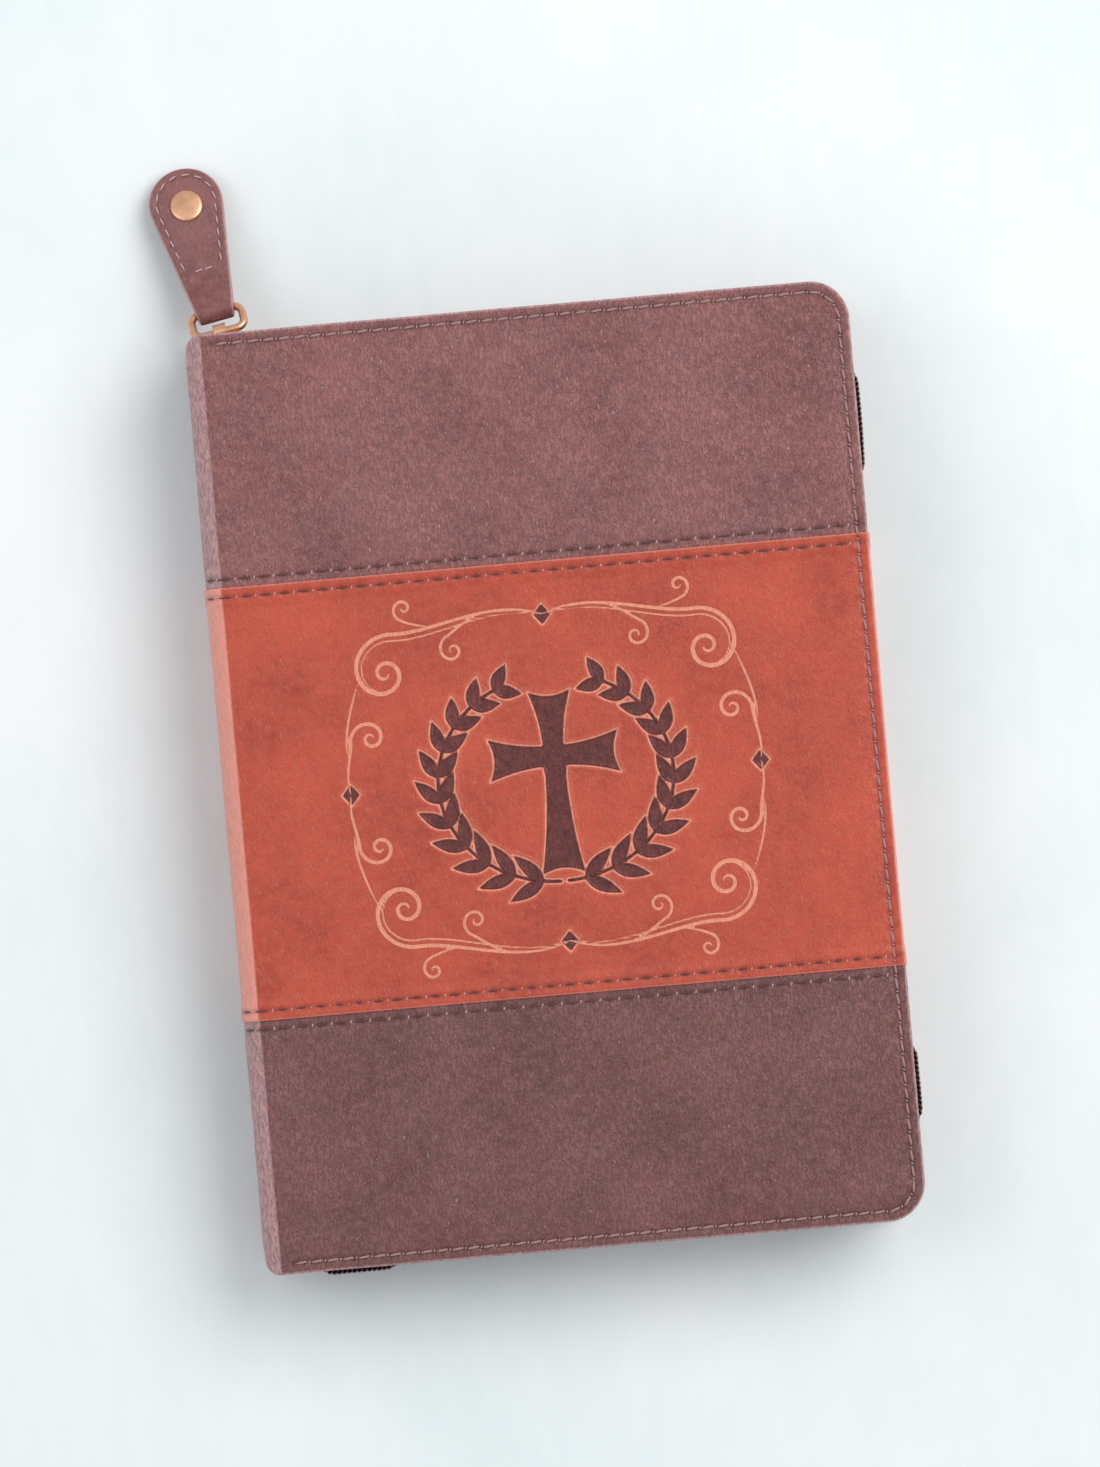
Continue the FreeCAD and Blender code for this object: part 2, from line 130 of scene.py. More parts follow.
# each bulge's middle, half the length of its flat top, the length of its slopes, and its reach
FORE_BULGES = ((75.0, 9.0, 9.0, 4.4), (-77.0, 6.0, 8.0, 4.4))
TAIL_BULGE = (-54.5, 6.0, 8.0, 4.8)

# ---- pages
LEAF_BEND = 20.0               # how much of the leaves arches as the book opens
LEAF_CORNER = 6.0
LEAF_STEP = 1.0                # spacing of the points across a leaf
LEAF_LAYER = 0.35              # between two rings of points down the block's edges
LEAF_RAGGED = 0.0022           # share of its size by which one layer may be short
RIBBON_LEAN = math.radians(6)
RIBBON_HALF = 3.0

# ---- pull strap, laid flat with its origin at the ring's far wire
STRAP_SLOPE = math.radians(16.2)
STRAP_LENGTH = 35.5
STRAP_HEAD_RADIUS = 8.6
STRAP_NECK_HALF = 3.9
STRAP_NECK_Y = -4.0
STRAP_LEATHER = 1.3
STRAP_JOIN = 9.0
WRAP_OUTER = 2.5               # radius of the leather round the ring's wire
STRAP_ROW_INSET = 1.8
STRAP_ROW_START = 9.8
STRAP_PITCH = 2.9
RIVET_FROM_END = 9.4

# ---- worked out from the sizes above
ROLL_TURN = math.pi / 2 - CREASE_TURN
ROLL_LENGTH = SHOULDER * ROLL_TURN / (1 - math.sin(CREASE_TURN))
ROLL_DROP = ROLL_LENGTH * math.cos(CREASE_TURN) / ROLL_TURN
SPINE_TRAVEL = ROLL_LENGTH + TOP_Z - ROLL_DROP - MIDDLE_Z
EDGE_ROW_RADIUS = CORNER_RADIUS - EDGE_ROW_INSET
ZIP_HALF = CENTRE_Y + (CORNER_RADIUS - ZIP_INSET) * math.pi / 2 + CENTRE_X - SPINE_X
EDGE_ROW_LENGTH = CENTRE_Y + EDGE_ROW_RADIUS * math.pi / 2 + CENTRE_X - SPINE_X - EDGE_ROW_START
EDGE_PITCH = EDGE_ROW_LENGTH / (EDGE_STITCHES - 0.5)
FLOOR_Z = -0.85                # under the back cover's hems and uneven leather


# ---- camera, floor and light

def set_camera():
    """Straight above the book, with the book turned five degrees in the picture."""
    lens_data = bpy.data.cameras.new("camera")
    lens_data.lens = LENS
    lens_data.sensor_width = SENSOR_WIDTH
    lens_data.clip_end = 20
    camera = bpy.data.objects.new("camera", lens_data)
    bpy.context.collection.objects.link(camera)
    distance = PICTURE_HEIGHT * LENS / SENSOR_WIDTH
    camera.location = Vector((*PICTURE_CENTRE, TOP_Z + distance)) * MM
    camera.rotation_euler = (0, 0, PICTURE_TURN)
    bpy.context.scene.camera = camera


def add_area_light(name, place, size, power, colour):
    """A round soft light, with its place and size in metres, turned to the book."""
    light = bpy.data.lights.new(name, "AREA")
    light.shape = "DISK"
    light.size = size
    light.energy = power
    light.color = colour
    lamp = bpy.data.objects.new(name, light)
    lamp.location = place
    lamp.rotation_euler = (-Vector(place)).to_track_quat("-Z", "Y").to_euler()
    bpy.context.collection.objects.link(lamp)


def set_light():
    """Even daylight, with a large soft light on the right and a weak one on the left."""
    scene = bpy.context.scene
    scene.view_settings.view_transform = "Standard"
    world = bpy.data.worlds.new("soft daylight")
    world.use_nodes = True
    background = world.node_tree.nodes["Background"].inputs
    background["Color"].default_value = DAYLIGHT
    background["Strength"].default_value = DAYLIGHT_STRENGTH
    scene.world = world
    add_area_light("window", (0.85, 0.55, 1.35), 1.3, 18.5, (1.0, 0.985, 0.96))
    add_area_light("room", (-0.9, 0.3, 1.1), 0.9, 3, (0.96, 0.98, 1.0))


# ---- meshes

def mesh_object(name, points, faces, material, **attributes):
    """A smooth mesh from points in millimetres, with one value or vector per point in each attribute."""
    mesh = bpy.data.meshes.new(name)
    points = np.asarray(points, float).reshape(-1, 3)
    mesh.from_pydata((points * MM).tolist(), [], np.asarray(faces).tolist())
    mesh.shade_smooth()
    for attribute, values in attributes.items():
        values = np.asarray(values, np.float32)
        if values.size == 3 * len(points):
            layer = mesh.attributes.new(attribute, "FLOAT_VECTOR", "POINT")
            layer.data.foreach_set("vector", values.ravel())
        else:
            layer = mesh.attributes.new(attribute, "FLOAT", "POINT")
            layer.data.foreach_set("value", values.ravel())
    mesh.materials.append(material)
    piece = bpy.data.objects.new(name, mesh)
    bpy.context.collection.objects.link(piece)
    return piece


def grid_faces(rows, columns, close_columns=False):
    """Four corners of each cell of a grid of points, row by row."""
    row = np.arange(rows - 1)
    column = np.arange(columns if close_columns else columns - 1)
    row, column = np.meshgrid(row, column, indexing="ij")
    next_row = row + 1
    next_column = (column + 1) % columns
    corners = [
        row * columns + column,
        row * columns + next_column,
        next_row * columns + next_column,
        next_row * columns + column,
    ]
    return np.stack(corners, axis=-1).reshape(-1, 4)


def grid_normals(points):
    """Unit normals of a grid of points, along row direction x column direction."""
    across = np.gradient(points, axis=1)
    along = np.gradient(points, axis=0)
    normals = np.cross(across, along)
    length = np.linalg.norm(normals, axis=-1, keepdims=True)
    return normals / np.maximum(length, 1e-9)


def copies(points, faces, places, axes):
    """A small mesh repeated at many places, each with its own three axes as rows."""
    moved = np.einsum("pk,nkc->npc", points, axes) + places[:, None, :]
    shifts = np.arange(len(places))[:, None, None] * len(points)
    return moved.reshape(-1, 3), (faces[None] + shifts).reshape(-1, 4)


def tube(path, radius, sides):
    """Points and faces of a round tube along a nearly flat path of points."""
    direction = np.gradient(path, axis=0)
    direction /= np.linalg.norm(direction, axis=1, keepdims=True)
    spread = np.linalg.svd(path - path.mean(axis=0))[2]
    flat = np.broadcast_to(spread[2], path.shape)
    side = np.cross(direction, flat)
    side /= np.linalg.norm(side, axis=1, keepdims=True)
    turn = np.arange(sides) * 2 * math.pi / sides
    offset = side[:, None] * np.cos(turn)[None, :, None] + flat[:, None] * np.sin(turn)[None, :, None]
    return path[:, None] + offset * radius, grid_faces(len(path), sides, close_columns=True)


def at_height(x, y, z):
    """Points at one height over places in plan."""
    return np.column_stack([x, y, np.full(len(x), z)])


def turned_over(points):
    """Points of the front cover's side as the same points of the back cover's side."""
    return points * [1, 1, -1] + [0, 0, TOP_Z]


def round_corner(past_x, past_y):
    """Square rings about a corner's centre bent into round ones: radius and angle of each point."""
    ring = np.maximum(past_x, past_y)
    share = np.minimum(past_x, past_y) / np.maximum(ring, 1e-9) * math.pi / 4
    return ring, np.where(past_x >= past_y, share, math.pi / 2 - share)


def smooth_step(value):
    """Rises from 0 to 1 as the value does, level at both ends."""
    value = np.clip(value, 0, 1)
    return value * value * (3 - 2 * value)


def waves(x, y, length, seed):
    """A gentle uneven surface between about -1 and 1, from a few crossing waves."""
    chance = np.random.default_rng(seed)
    total = np.zeros(np.broadcast(x, y).shape)
    for _ in range(7):
        turn = chance.uniform(0, 2 * math.pi)
        scale = 2 * math.pi / (length * chance.uniform(0.7, 1.6))
        phase = chance.uniform(0, 2 * math.pi)
        total += np.sin((x * math.cos(turn) + y * math.sin(turn)) * scale + phase)
    return total / 4


# ---- materials

def srgb(red, green, blue):
    """A display colour, 0 to 255, as the linear colour that shaders use."""
    values = [channel / 255 for channel in (red, green, blue)]
    linear = [v / 12.92 if v <= 0.04045 else ((v + 0.055) / 1.055) ** 2.4 for v in values]
    return (*linear, 1.0)


def tone(red, green, blue, shade):
    """A display colour made lighter or darker by a share."""
    return srgb(red * shade, green * shade, blue * shade)


class Finish:
    """A material being built, with short calls for the nodes that the finishes share."""

    def __init__(self, name):
        self.material = bpy.data.materials.new(name)
        self.material.use_nodes = True
        self.tree = self.material.node_tree
        self.shader = self.tree.nodes["Principled BSDF"]

    def add(self, kind, sockets, **settings):
        node = self.tree.nodes.new(kind)
        for setting, value in settings.items():
            setattr(node, setting, value)
        for socket, value in sockets.items():
            self.set(node.inputs[socket], value)
        return node

    def set(self, socket, value):
        if isinstance(value, bpy.types.NodeSocket):
            self.tree.links.new(value, socket)
        else:
            socket.default_value = value

    def shade(self, **sockets):
        """Sets the surface shader's sockets, named with underscores for spaces."""
        for socket, value in sockets.items():
            self.set(self.shader.inputs[socket.replace("_", " ")], value)

    def rest(self):
        """The place on the flat, unbent material, in millimetres."""
        return self.add("ShaderNodeAttribute", {}, attribute_name="rest").outputs["Vector"]

    def mask(self, name):
        """A number that the mesh holds at each point."""
        return self.add("ShaderNodeAttribute", {}, attribute_name=name).outputs["Fac"]

    def solid(self):
        """The place inside a rigid CAD part, in millimetres."""
        place = self.add("ShaderNodeTexCoord", {}).outputs["Object"]
        return self.mapped(place, (1 / MM, 1 / MM, 1 / MM))

    def mapped(self, vector, scale, turn=0.0):
        sockets = {"Vector": vector, "Scale": scale, "Rotation": (0, 0, math.radians(turn))}
        return self.add("ShaderNodeMapping", sockets).outputs["Vector"]

    def noise(self, vector, size, detail=3.0, roughness=0.55):
        """Cloudy noise whose blotches are about size millimetres across."""
        sockets = {"Vector": vector, "Scale": 1 / size, "Detail": detail, "Roughness": roughness}
        return self.add("ShaderNodeTexNoise", sockets).outputs["Fac"]

    def cells(self, vector, size, feature="F1"):
        """Distance in a pattern of cells that are about size millimetres across."""
        sockets = {"Vector": vector, "Scale": 1 / size}
        return self.add("ShaderNodeTexVoronoi", sockets, feature=feature).outputs["Distance"]

    def fit(self, value, low, high, new_low=0.0, new_high=1.0):
        """A value from low to high stretched to a new range, and held at its ends."""
        sockets = {"Value": value, "From Min": low, "From Max": high, "To Min": new_low, "To Max": new_high}
        return self.add("ShaderNodeMapRange", sockets).outputs["Result"]

    def maths(self, operation, first, second=0.0):
        node = self.add("ShaderNodeMath", {0: first, 1: second}, operation=operation)
        return node.outputs["Value"]

    def times(self, first, second):
        return self.maths("MULTIPLY", first, second)

    def mix(self, share, first, second):
        node = self.add("ShaderNodeMix", {"Factor": share}, data_type="RGBA", blend_type="MIX")
        self.set(node.inputs[6], first)
        self.set(node.inputs[7], second)
        return node.outputs[2]

    def tint(self, colour, pattern, strength, new_colour):
        """A colour with some of another laid over it where a pattern from 0 to 1 is high."""
        return self.mix(self.times(pattern, strength), colour, new_colour)

    def bump(self, height, depth, normal=None):
        """Relief of the given depth in millimetres for a height from 0 to 1."""
        sockets = {"Height": height, "Distance": depth * MM, "Strength": 1.0}
        if normal is not None:
            sockets["Normal"] = normal
        return self.add("ShaderNodeBump", sockets).outputs["Normal"]


def leather_grain(finish, place, streak_depth, pore_depth, wrinkle_depth):
    """Relief of short brushed hairs over fine pores. Returns the normal and the hair pattern."""
    hairs = finish.noise(finish.mapped(place, (1.5, 0.42, 1), 8), 1.0, 4, 0.66)
    crossing = finish.noise(finish.mapped(place, (1.4, 0.5, 1), -34), 1.0, 4, 0.66)
    streaks = finish.fit(finish.maths("MAXIMUM", hairs, crossing), 0.54, 0.68)
    pores = finish.cells(place, 0.5)
    wrinkles = finish.cells(finish.mapped(place, (1, 0.8, 1), 25), 2.6, "DISTANCE_TO_EDGE")
    normal = finish.bump(finish.fit(wrinkles, 0, 0.12), wrinkle_depth)
    normal = finish.bump(pores, pore_depth, normal)
    normal = finish.bump(streaks, streak_depth, normal)
    return normal, streaks


def brown_leather(name, shade, grain):
    """Mauve-brown brushed leather. A shade other than 1 paints it lighter or darker, as the tail strips' painted
    shade does, and a grain below 1 makes a smoother one.
    """
    finish = Finish(name)
    place = finish.rest()
    normal, streaks = leather_grain(finish, place, 0.34 * grain, 0.08 * grain, 0.06 * grain)
    clouds = finish.fit(finish.noise(place, 26, 4), 0.36, 0.64)
    warmth = finish.fit(finish.noise(finish.mapped(place, (1, 0.7, 1), 20), 15, 5, 0.65), 0.42, 0.66)
    mottle = finish.fit(finish.noise(place, 2.6, 5, 0.7), 0.38, 0.64)
    specks = finish.fit(finish.noise(place, 0.9, 3, 0.7), 0.55, 0.70)
    colour = finish.mix(clouds, tone(100, 54, 54, shade), tone(132, 82, 82, shade))
    colour = finish.tint(colour, warmth, 0.4, tone(142, 78, 68, shade))
    colour = finish.tint(colour, mottle, 0.55, tone(152, 100, 98, shade))
    colour = finish.tint(colour, specks, 0.5 * grain, tone(72, 32, 32, shade))
    colour = finish.tint(colour, streaks, 0.70 * grain, tone(192, 144, 144, shade))
    # Painted sheen: lighter where the mesh's mask marks the spine band, the edges' rims and the hem's edge.
    colour = finish.tint(colour, finish.mask("rub"), 0.86, srgb(198, 152, 154))
    # Painted shade: darker at the stitches' holes and grooves and in a line under the band's hem.
    colour = finish.tint(colour, finish.mask("pucker"), 0.7, srgb(74, 38, 40))
    rough = finish.fit(streaks, 0, 1, 0.48, 0.28)
    finish.shade(Base_Color=colour, Roughness=rough, Normal=normal, Specular_IOR_Level=0.5)
    return finish.material


def orange_leather():
    """Burnt orange leather: cloudy dye, darker scuffs, and the pressed ornament's two colours."""
    finish = Finish("orange leather")
    place = finish.rest()
    normal, streaks = leather_grain(finish, place, 0.12, 0.05, 0.03)
    clouds = finish.fit(finish.noise(place, 24, 5), 0.36, 0.64)
    mottle = finish.fit(finish.noise(place, 2.6, 6, 0.7), 0.38, 0.64)
    colour = finish.mix(clouds, srgb(160, 54, 36), srgb(188, 71, 48))
    colour = finish.tint(colour, mottle, 0.45, srgb(198, 86, 62))
    scuffs = finish.fit(finish.noise(finish.mapped(place, (0.9, 0.32, 1), -8), 7, 6, 0.7), 0.60, 0.80)
    colour = finish.tint(colour, scuffs, 0.6, srgb(134, 44, 38))
    colour = finish.tint(colour, streaks, 0.34, srgb(222, 128, 104))
    from_dark = finish.mask("dark_distance")
    halo = finish.fit(from_dark, 1.3, 0.1)
    colour = finish.tint(colour, halo, 0.35, srgb(222, 120, 92))
    # Painted highlight: a thin light line just outside each dark shape's edge.
    rim = finish.times(finish.fit(from_dark, 0.0, 0.08), finish.fit(from_dark, 0.42, 0.24))
    colour = finish.tint(colour, rim, 0.6, srgb(246, 172, 146))
    dark_tone = finish.mix(mottle, srgb(80, 30, 30), srgb(108, 46, 44))
    colour = finish.mix(finish.fit(from_dark, -0.02, -0.14), colour, dark_tone)
    normal = finish.bump(finish.fit(from_dark, -0.28, 0.16), 0.55, normal)
    line = finish.fit(finish.mask("line_distance"), 0.05, -0.06)
    normal = finish.bump(line, -0.10, normal)
    colour = finish.tint(colour, line, 0.85, srgb(230, 150, 122))
    # Painted sheen: lighter where the mesh's mask marks the spine band, the edges' rims and the hem's edge.
    colour = finish.tint(colour, finish.mask("rub"), 0.7, srgb(250, 174, 158))
    # Painted shade: darker at the stitches' holes and grooves and in a line under the band's hem.
    colour = finish.tint(colour, finish.mask("pucker"), 0.75, srgb(104, 32, 28))
    rough = finish.fit(mottle, 0, 1, 0.36, 0.46)
    finish.shade(Base_Color=colour, Roughness=rough, Normal=normal, Specular_IOR_Level=0.45)
    return finish.material


def thread(name, dark, light):
    """Twisted thread: fine slanted plies along each stitch."""
    finish = Finish(name)
    place = finish.rest()
    plies = finish.add("ShaderNodeTexWave", {"Vector": finish.mapped(place, (1, 1, 1), 55), "Scale": 1.1})
    fuzz = finish.noise(place, 0.25, 2)
    colour = finish.mix(plies.outputs["Fac"], dark, light)
    colour = finish.tint(colour, fuzz, 0.3, light)
    normal = finish.bump(plies.outputs["Fac"], 0.08)
    finish.shade(Base_Color=colour, Roughness=0.42, Normal=normal, Sheen_Weight=0.2)
    return finish.material


def woven(name, place_kind, dark, light, size=0.5, rough=0.85):
    """Plain weave: two crossing sets of yarns, one dark and one light."""
    finish = Finish(name)
    place = finish.rest() if place_kind == "rest" else finish.solid()
    yarns = {"Vector": place, "Scale": 0.31 / size, "Distortion": 0.4}
    warp = finish.add("ShaderNodeTexWave", yarns)
    weft = finish.add("ShaderNodeTexWave", yarns, bands_direction="Y")
    weave = finish.times(warp.outputs["Fac"], weft.outputs["Fac"])
    worn = finish.fit(finish.noise(place, 6, 4), 0.35, 0.7)
    colour = finish.mix(weave, dark, light)
    colour = finish.tint(colour, worn, 0.35, light)
    normal = finish.bump(weave, 0.1)
    finish.shade(Base_Color=colour, Roughness=rough, Normal=normal, Sheen_Weight=0.25)
    return finish.material


def copper():
    """Polished copper-gold plating with fine scratches and duller patches."""
    finish = Finish("copper metal")
    place = finish.solid()
    patches = finish.fit(finish.noise(place, 2.5, 4), 0.35, 0.7)
    scratches = finish.noise(finish.mapped(place, (9, 0.7, 2), 35), 1.0, 3, 0.7)
    colour = finish.mix(patches, srgb(222, 166, 134), srgb(238, 186, 152))
    rough = finish.fit(scratches, 0.35, 0.7, 0.34, 0.46)
    normal = finish.bump(scratches, 0.01)
    finish.shade(Base_Color=colour, Metallic=1.0, Roughness=rough, Normal=normal)
    return finish.material


def nylon():
    """Brown coil plastic, slightly uneven in colour."""
    finish = Finish("zip coil nylon")
    place = finish.rest()
    tint = finish.fit(finish.noise(place, 4, 3), 0.35, 0.65)
    colour = finish.mix(tint, srgb(96, 58, 58), srgb(120, 76, 74))
    finish.shade(Base_Color=colour, Roughness=0.38, Normal=finish.bump(finish.noise(place, 0.3, 2), 0.03))
    return finish.material


def paper(name, pale, deep):
    """Thin cream leaves: fine lines through the thickness, and greyed columns on the open faces."""
    finish = Finish(name)
    place = finish.rest()
    leaves = finish.noise(finish.mapped(place, (0.02, 0.02, 5.5)), 1.0, 3, 0.8)
    fibres = finish.noise(place, 0.8, 5)
    clouds = finish.fit(finish.noise(place, 30, 3), 0.3, 0.7)
    colour = finish.mix(clouds, pale, deep)
    edge = finish.mask("edge")
    lines = finish.times(finish.fit(leaves, 0.42, 0.60), 0.45)
    colour = finish.tint(colour, lines, edge, srgb(150, 126, 98))
    colour = finish.mix(printed_rows(finish, place), colour, srgb(92, 86, 82))
    normal = finish.bump(fibres, 0.02)
    normal = finish.bump(finish.times(leaves, edge), 0.12, normal)
    finish.shade(Base_Color=colour, Roughness=0.8, Normal=normal)
    return finish.material


def printed_rows(finish, place):
    """Greyed rows in two columns, broken into word-like lengths. They form no letters."""
    row_pitch = 2.5
    parts = finish.add("ShaderNodeSeparateXYZ", {"Vector": place})
    across = parts.outputs["X"]
    up = parts.outputs["Y"]
    rows_up = finish.times(up, 1 / row_pitch)
    from_row = finish.maths("ABSOLUTE", finish.maths("SUBTRACT", finish.maths("FRACT", rows_up), 0.5))
    in_row = finish.maths("LESS_THAN", from_row, 0.2)
    row_place = finish.times(finish.maths("FLOOR", rows_up), 7.3)
    word_place = finish.add("ShaderNodeCombineXYZ", {"X": across, "Y": row_place}).outputs["Vector"]
    words = finish.maths("GREATER_THAN", finish.noise(word_place, 1.5, 2, 0.6), 0.43)
    from_gutter = finish.maths("ABSOLUTE", finish.maths("SUBTRACT", across, 3.0))
    printed = finish.times(in_row, words)
    for limit in (finish.maths("GREATER_THAN", from_gutter, 2.5),
                  finish.maths("LESS_THAN", from_gutter, 54.0),
                  finish.maths("LESS_THAN", finish.maths("ABSOLUTE", up), 86.0),
                  finish.mask("face")):
        printed = finish.times(printed, limit)
    return finish.times(printed, 0.55)


def board():
    """Plain grey board with short fibres."""
    finish = Finish("grey board")
    place = finish.solid()
    colour = finish.mix(finish.noise(place, 1.2, 5), srgb(150, 140, 126), srgb(182, 172, 156))
    finish.shade(Base_Color=colour, Roughness=0.9, Normal=finish.bump(finish.noise(place, 0.4, 3), 0.04))
    return finish.material


def satin_ribbon():
    """Dark red satin with fine ribs across it."""
    finish = Finish("satin ribbon")
    place = finish.rest()
    ribs = finish.add("ShaderNodeTexWave", {"Vector": place, "Scale": 0.9}, bands_direction="Y")
    colour = finish.mix(ribs.outputs["Fac"], srgb(132, 38, 30), srgb(176, 62, 48))
    finish.shade(Base_Color=colour, Roughness=0.35, Normal=finish.bump(ribs.outputs["Fac"], 0.04),
                 Sheen_Weight=0.3)
    return finish.material


def painted_floor():
    """A pale brushed surface under the book."""
    finish = Finish("pale floor")
    place = finish.solid()
    clouds = finish.fit(finish.noise(place, 130, 5), 0.35, 0.65)
    brushed = finish.fit(finish.noise(finish.mapped(place, (1, 0.35, 1), 40), 9, 6, 0.7), 0.4, 0.7)
    colour = finish.mix(clouds, srgb(222, 231, 232), srgb(236, 239, 240))
    colour = finish.tint(colour, brushed, 0.2, srgb(246, 247, 248))
    finish.shade(Base_Color=colour, Roughness=0.7)
    return finish.material


# ---- leather wraps: one grid of points per strip, laid out flat and then folded

def edge_profile():
    """The folded edge: distance over the leather, reach from the corner's centre, depth below the face."""
    steps = [(reach, 0.0) for reach in np.linspace(0, CORNER_RADIUS - EDGE_ROUND, 25)]
    for angle in np.radians([15, 30, 45, 60, 75, 90]):
        reach = CORNER_RADIUS - EDGE_ROUND + EDGE_ROUND * math.sin(angle)
        steps.append((reach, EDGE_ROUND - EDGE_ROUND * math.cos(angle)))
    inner_round = 0.5
    for angle in np.radians([0, 30, 60, 90]):
        reach = CORNER_RADIUS - inner_round + inner_round * math.cos(angle)
        steps.append((reach, INNER_DEPTH - inner_round + inner_round * math.sin(angle)))
    for inset in np.linspace(1.2, TURN_IN, 5):
        steps.append((CORNER_RADIUS - inset, INNER_DEPTH))
    cut_edge = 0.8
    steps.append((CORNER_RADIUS - TURN_IN - 0.2, INNER_DEPTH - cut_edge))
    reach, depth = np.array(steps).T
    distance = np.concatenate([[0], np.cumsum(np.hypot(np.diff(reach), np.diff(depth)))])
    return distance, reach, depth


EDGE_DISTANCE, EDGE_REACH, EDGE_DEPTH = edge_profile()


def spine_curve(travel):
    """The rolled spine beyond the crease: x, z and slope angle below the horizontal."""
    travel = np.asarray(travel, float)
    rate = ROLL_TURN / ROLL_LENGTH
    angle = CREASE_TURN + rate * np.clip(travel, 0, ROLL_LENGTH)
    x = CREASE_X - (np.sin(angle) - math.sin(CREASE_TURN)) / rate
    z = TOP_Z - (math.cos(CREASE_TURN) - np.cos(angle)) / rate - np.maximum(travel - ROLL_LENGTH, 0)
    return x, z, angle


def wrap_columns(step):
    """Stations across the wrap: fore-edge fold, flat face, rolled spine down to its middle."""
    flat = np.arange(CENTRE_X, CREASE_X, -step)[1:]
    roll = np.linspace(0, ROLL_LENGTH, 16)
    wall = np.linspace(ROLL_LENGTH, SPINE_TRAVEL, 10)[1:]
    travel = np.concatenate([roll, wall])
    fold = EDGE_DISTANCE[::-1]
    face_x = np.concatenate([np.full(len(fold), CENTRE_X), flat, np.full(len(travel), CREASE_X)])
    over_edge = np.concatenate([fold, np.zeros(len(flat) + len(travel))])
    beyond = np.concatenate([np.zeros(len(fold) + len(flat)), travel])
    on_spine = np.concatenate([np.zeros(len(fold) + len(flat)), np.ones(len(travel))])
    return face_x, over_edge, beyond, on_spine


def end_rows(step):
    """Stations up an end strip, from under the band's hem to the fold at the head."""
    flat = np.arange(SEAM_Y - BAND_UNDERLAP, CENTRE_Y - step / 2, step)
    face_y = np.concatenate([flat, np.full(len(EDGE_DISTANCE), CENTRE_Y)])
    over_edge = np.concatenate([np.zeros(len(flat)), EDGE_DISTANCE])
    return face_y, over_edge, np.zeros(len(face_y))


def band_rows(step):
    """Stations up the centre band. Each end rolls over and tucks in below its hem."""
    roll = [(0.0, -0.30), (0.0, 0.0), (0.04, 0.17), (0.14, 0.32), (0.30, 0.41), (0.5, SEAM_LIFT)]
    inset, lift = np.array(roll).T
    flat = np.arange(-SEAM_Y + 0.9, SEAM_Y - 0.89, step)
    hem = SEAM_LIFT * (1 - 0.8 * smooth_step((SEAM_Y - np.abs(flat) - 2.4) / 3.0))
    face_y = np.concatenate([-SEAM_Y + inset, flat, (SEAM_Y - inset)[::-1]])
    return face_y, np.zeros(len(face_y)), np.concatenate([lift, hem, lift[::-1]])


def fold_leather(columns, rows):
    """Folds a flat strip over the cover's edges and spine. Returns points and facts about each."""
    face_x, over_fore, beyond, on_spine = [values[None, :] for values in columns]
    face_y, over_head, lift = [values[:, None] for values in rows]
    shape = (face_y.size, face_x.size)
    shell, angle = round_corner(over_fore, over_head)
    reach = np.interp(shell, EDGE_DISTANCE, EDGE_REACH)
    depth = np.interp(shell, EDGE_DISTANCE, EDGE_DEPTH)
    x = face_x + np.where(over_fore > 0, reach * np.cos(angle), 0)
    y = face_y + np.where(over_head > 0, reach * np.sin(angle), 0)
    z = np.broadcast_to(TOP_Z - depth, shape).copy()
    # On the spine the strip follows the roll, and its ends draw in to the spine wall's ends.
    roll_x, roll_z, slope = spine_curve(beyond)
    nose_run = 1.5
    past_nose = np.clip((beyond - ROLL_LENGTH) / nose_run, 0, 1)
    thin = np.minimum(depth, NOSE_DEPTH + (INNER_DEPTH - NOSE_DEPTH) * past_nose)
    corner = HEAD_Y - WALL_END_Y
    into_corner = np.clip(SPINE_X + corner - roll_x, 0, corner)
    drawn_in = corner - np.sqrt(np.maximum(corner ** 2 - into_corner ** 2, 0))
    near_end = smooth_step(over_head / (CORNER_RADIUS - EDGE_ROUND))
    x = np.where(on_spine > 0, roll_x + thin * np.sin(slope), x)
    z = np.where(on_spine > 0, roll_z - thin * np.cos(slope), z)
    y = np.where(on_spine > 0, y - drawn_in * near_end, y)
    points = np.stack([x, np.broadcast_to(y, shape), z], axis=-1)
    along = np.where(over_fore > 0, CENTRE_Y + EDGE_ROW_RADIUS * angle,
                     CENTRE_Y + EDGE_ROW_RADIUS * math.pi / 2 + CENTRE_X - face_x + beyond)
    along = np.where(over_head > 0, along, np.abs(face_y))
    facts = {
        "x": np.broadcast_to(face_x + over_fore - beyond, shape),
        "y": np.broadcast_to(face_y + over_head, shape),
        "inset": np.where(shell > 0, CORNER_RADIUS - reach, CORNER_RADIUS),
        "outer": smooth_step(1 - (depth - 0.4) / 1.2),
        "along": along,
        "beyond": np.broadcast_to(beyond, shape),
        "lift": np.broadcast_to(lift, shape),
    }
    return points, facts


def stitched(offset, along, pitch):
    """How deep the leather is drawn in beside a row of stitches, and how much shade is painted there, 0 to 1."""
    groove_width, pucker_width, hole_width = 0.55, 0.95, 0.34
    groove_depth, pucker_depth = 0.20, 0.22
    groove_shade = 0.45
    phase = np.abs((along / pitch) % 1 - 0.5) * 2
    hole = smooth_step((0.36 - phase) / 0.3) * np.exp(-(offset / hole_width) ** 2)
    groove = np.exp(-(offset / groove_width) ** 2)
    pucker = np.exp(-(offset / pucker_width) ** 2) * smooth_step((0.7 - phase) / 0.7)
    return groove_depth * groove + pucker_depth * pucker, hole + groove_shade * groove


